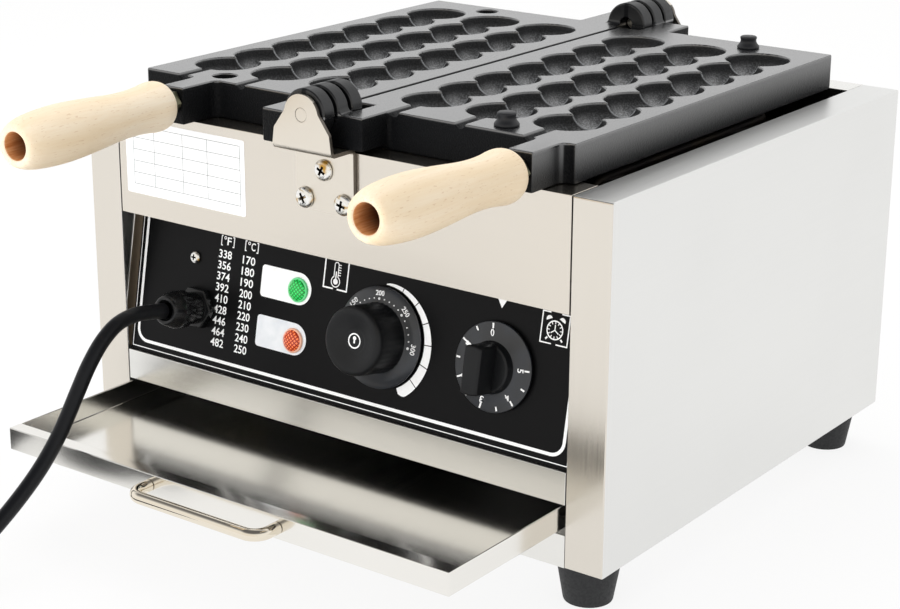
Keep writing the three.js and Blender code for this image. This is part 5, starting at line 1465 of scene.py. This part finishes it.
skirt = [(25.0, 1.4), (25.2, 1.7), (25.2, 3.0), (24.9, 3.3), (20.0, 4.0), (15.6, 4.75), (14.7, 5.0), (14.3, 5.6),
         (14.2, 8.6), (14.0, 9.4), (13.4, 9.9), (12.6, 10.0), (0, 10.0)]
bar_sections = []
for level, inset in ((7.0, 0), (23.2, 0), (23.9, 0.25), (24.3, 0.7), (24.5, 1.3)):
    half_wide, half_long, round_end = 5.5 - inset, 13.75 - inset, 5.0
    outline = []
    for end in (1, -1):
        for a in np.linspace(0, math.pi, 21):
            u = end * half_wide * math.cos(a)
            v = end * (half_long - round_end * 0.42 + round_end * 0.42 * math.sin(a) ** 0.6)
            outline.append((u, v, level))
    bar_sections.append(outline)
timer = solid("timer_grip", at_place(turned_shape([(0, 1.4), *skirt], 96), timer_place), phenolic, "timer_control")
bar = solid("timer_bar", at_place(rings(bar_sections), timer_place), phenolic, None)
combined(timer, bar, "UNION")
second_finish(timer, dial_black, on_skirt(timer_place, 4.95, 14.8))
carved(timer, at_place(shaft_hole, timer_place))
stands_for(sharp_normals(timer, 35), "black_moulding", "timer_knob")
numbers = []
for i, value in enumerate((0, 5, 4, 3, 2, 1)):
    degrees = 96 - (90 if i else 0) - 54 * max(i - 1, 0)
    spot = polar(timer_place, 19.0, degrees)
    numbers.append(lettering(str(value), spot, 3.9, 2.3, 4.0, 4.62, degrees - 90))
    numbers.append(stroke([polar(timer_place, r, degrees) for r in (21.3, 24.3)], 0.95, 3.3, 3.98))
    if i:
        numbers.append(stroke([polar(timer_place, r, degrees - 27) for r in (21.6, 24.1)], 0.95, 3.3, 3.98))
printed("timer_numbers", numbers, white_ink, "timer_control")


# Cable gland
# A nylon gland screwed into the panel. Its cap squeezes a seal round the cord, and it is moulded glossy.
nylon = finish("glossy_black_nylon", "0F1011", 0.2, rough=(2400, 1, 0.17, 0.23), Specular_IOR_Level=0.4)
hexagon = six_sided(13.2, ((0.3, 0.97), (0.7, 1.0), (5.4, 1.0), (6.0, 0.93)))
gland = solid("gland_nut", at_place(hexagon, gland_place), nylon, "case", False)
barrel = turned_shape([(0, -10), (9.6, -10), (9.6, 14.6), (9.3, 15.0), (0, 15.0)], 64)
combined(gland, solid("gland_barrel", at_place(barrel, gland_place), nylon, None), "UNION")
bore = turned_shape([(0, -12), (4.8, -12), (4.8, 18), (0, 18)], 48)
carved(gland, at_place(bore, gland_place))
rounded(sharp_normals(gland, 30), 0.4, 2, 40)
stands_for(gland, "black_moulding", "gland_body")
cap_profile = [(4.8, 15.3, 0), (10.9, 15.3, 0), (11.4, 15.8, 0.5), (11.4, 20.5, 0.5), (11.35, 22.6, 0.1),
               (11.1, 23.8, 0), (10.4, 25.8, 0), (9.5, 28.2, 0), (8.9, 29.8, 0), (8.5, 30.6, 0), (7.9, 31.0, 0),
               (6.9, 31.0, 0), (6.3, 30.6, 0), (5.9, 29.2, 0), (5.2, 28.2, 0), (4.8, 27.8, 0)]
cap_steps = 144
points, faces = ribbed_turning(cap_profile, 12, cap_steps)
last = len(points) - cap_steps
faces = faces[:-2] + [(last + k, last + (k + 1) % cap_steps, (k + 1) % cap_steps, k) for k in range(cap_steps)]
cap = solid("gland_cap_nut", at_place((points, faces), gland_place), nylon)
stands_for(sharp_normals(cap, 40), "black_moulding", "gland_cap")


# Data sticker
# A white vinyl label on the upper front sheet, ruled for a table. Its words are left out.
label_low, label_high = (-156.5, 184.5), (-61.5, 229.8)
vinyl = finish("white_vinyl_label", "FAFAFB", 0.42, tints=(40, 2, "F7F8F9", "FAFAFB", "FEFEFE"))
rule_ink = finish("grey_printed_rules", "6D7178", 0.5, rough=(300, 2, 0.45, 0.55))


def on_sheet(name, shapes, out, material):
    """Flat (across, up, thickness) shapes, stood on the case's front as one piece."""
    points, faces = joined(*shapes)
    upright = np.column_stack((points[:, 0], -out - points[:, 2], points[:, 1]))
    solid(name, (upright, faces), material, "case", False)


half_wide, half_high = (label_high[0] - label_low[0]) / 2, (label_high[1] - label_low[1]) / 2
label_middle = ((label_low[0] + label_high[0]) / 2, (label_low[1] + label_high[1]) / 2)
outline = [(label_middle[0] + u, label_middle[1] + v) for u, v in rounded_outline(half_wide, half_high, 1.5, 4)]
on_sheet("data_sticker", [prism(outline, 0.0, 0.1)], 0.02, vinyl)
left, right, low, high = -150.2, -65.2, 190.5, 226.1
rules = [[(left + (right - left) * share, end) for end in (low, high)] for share in (0, 0.2, 0.47, 0.7, 1)]
rules += [[(end, low + (high - low) * share) for end in (left, right)] for share in (0, 0.2, 0.4, 0.6, 0.8, 1)]
on_sheet("data_sticker_rules", [stroke(rule, 0.28, 0, 0.04) for rule in rules], 0.12, rule_ink)


# Heating and switch gear
# Two tubular heaters in nickel alloy lie on flat steel bars in an open liner, under the plates. The
# thermostat's copper bulb lies between them, and its body, the timer and a ceramic terminal block are inside.
def bent_tube(name, corners, bend, radius, material, body="case", around=20, per_bend=10):
    """A round rod through corners in millimetres, each rounded with a bend, as a closed mesh."""
    corners = [np.array(c, float) for c in corners]
    line = [corners[0]]
    for before, corner, after in zip(corners, corners[1:], corners[2:]):
        toward = (before - corner) / np.linalg.norm(before - corner)
        away = (after - corner) / np.linalg.norm(after - corner)
        turn = math.acos(float(np.clip(toward @ away, -1, 1)))
        reach = bend / math.tan(turn / 2)
        middle = corner + (toward + away) / np.linalg.norm(toward + away) * bend / math.sin(turn / 2)
        start, end = corner + toward * reach - middle, corner + away * reach - middle
        angle = math.pi - turn
        line += [middle + (math.sin(angle * (1 - t)) * start + math.sin(angle * t) * end) / math.sin(angle)
                 for t in np.linspace(0, 1, per_bend + 1)]
    line.append(corners[-1])
    line = np.array(line)
    ways = np.gradient(line, axis=0)
    ways /= np.linalg.norm(ways, axis=1, keepdims=True)
    up = Vector((1, 0, 0)) if abs(ways[0][0]) < 0.9 else Vector((0, 1, 0))
    sections, before = [], None
    for place, way in zip(line, ways):
        way = Vector(way)
        if before:
            up = before.rotation_difference(way) @ up
        one = (up - up.dot(way) * way).normalized()
        two = way.cross(one)
        sections.append([place + radius * (math.cos(a) * np.array(one) + math.sin(a) * np.array(two))
                         for a in np.linspace(0, 2 * math.pi, around, endpoint=False)])
        before = way
    return solid(name, rings(sections), material, body)


# The heaters' dark brown is partly heat tint and partly painted shade, for they lie in the dark under the plates.
sheath = finish("heat_tinted_nickel_alloy", "332D29", 0.5, 0.8, raised=(900, 2, 0.02, 0.5),
                tints=(35, 3, "262223", "332D29", "463D31"))
copper = finish("drawn_copper_bulb", "B9774C", 0.28, 1.0, tints=(90, 2, "9C5F3B", "B9774C", "CF946A"))
ceramic = finish("cream_glazed_ceramic", "DDD8C8", 0.3, rough=(160, 2, 0.25, 0.4), Coat_Weight=0.3)
phenol_case = finish("brown_phenolic_switch_body", "4A3B30", 0.5, tints=(300, 3, "3F3229", "4A3B30", "574739"))
clock_case = finish("passivated_steel_timer_can", "B9B4A6", 0.38, 1.0, rough=(260, 2, 0.3, 0.48))
sooty_steel = finish("smoked_stainless_liner", "1E1B18", 0.55, 0.6, tints=(60, 3, "141210", "1E1B18", "3A342C"))
dressed_sheet("heating_chamber", "open_liner", sooty_steel, edge=0.35)
heater_level, heater_front, heater_back = 222.0, 62.0, 272.0
for side, word in ((-1, "left"), (1, "right")):
    legs = [side * (28 + 34 * i) for i in range(4)]
    path = [(legs[0], heater_front, 168), (legs[0], heater_front, heater_level), (legs[0], heater_back, heater_level),
            (legs[1], heater_back, heater_level), (legs[1], heater_front + 17, heater_level),
            (legs[2], heater_front + 17, heater_level), (legs[2], heater_back, heater_level),
            (legs[3], heater_back, heater_level), (legs[3], heater_front, heater_level), (legs[3], heater_front, 168)]
    heater = bent_tube(f"{word}_tube_heater", path, 16.7, 3.25, sheath)
    collars = []
    for x in (legs[0], legs[3]):
        levels = ((181.5, 0.95), (182.0, 1), (186.9, 1), (187.5, 0.95))
        collars.append(six_sided(7, levels, (x, heater_front)))
    collar = solid(f"{word}_heater_nuts", joined(*collars), zinc, "case", False)
    rounded(collar, 0.2, 2, 30)
    stands_for(heater, "heater_sheath", f"{word}_heater")
for word in ("front", "rear"):
    dressed_sheet(f"{word}_heater_bar", f"{word}_carrier_bar", steel_across, edge=0.3)
bulb_shape = turned_shape([(0, 0), (1.4, 0.1), (2.3, 0.7), (2.8, 1.6), (3.0, 3.0), (3.0, 158.4), (2.8, 160),
                           (2.2, 161.2), (1.3, 161.9), (0, 162)], 36)
bulb = solid("thermostat_copper_bulb", along_axis(bulb_shape, (-11, 84, 221.75), (0, 1, 0)), copper)
capillary = bent_tube("thermostat_capillary", [(-11, 85, 221.75), (-11, 72, 221.75), (-11, 72, 168)], 10, 1.1, copper,
                      around=14)
stands_for(bulb, "copper_bulb", "thermostat_bulb")
dressed_sheet("thermostat_body", "thermostat_case", phenol_case, edge=1.0, steps=3, slot="switch_case")
dressed_sheet("timer_body", "timer_can", clock_case, edge=1.0, steps=3, slot="switch_case")
dressed_sheet("terminal_block", "ceramic_terminals", ceramic, edge=0.6, steps=2, slot="ceramic")
for place, node, body in ((temperature_place, "thermostat_shaft", "temperature_control"),
                          (timer_place, "timer_shaft", "timer_control")):
    shape = turned_shape([(0, -8.6), (3.0, -8.6), (3.0, 16.5), (2.6, 17), (0, 17)], 32)
    shaft = solid(f"{node}_rod", at_place(shape, place), zinc, body)
    stands_for(sharp_normals(shaft), "zinc_plated", node)
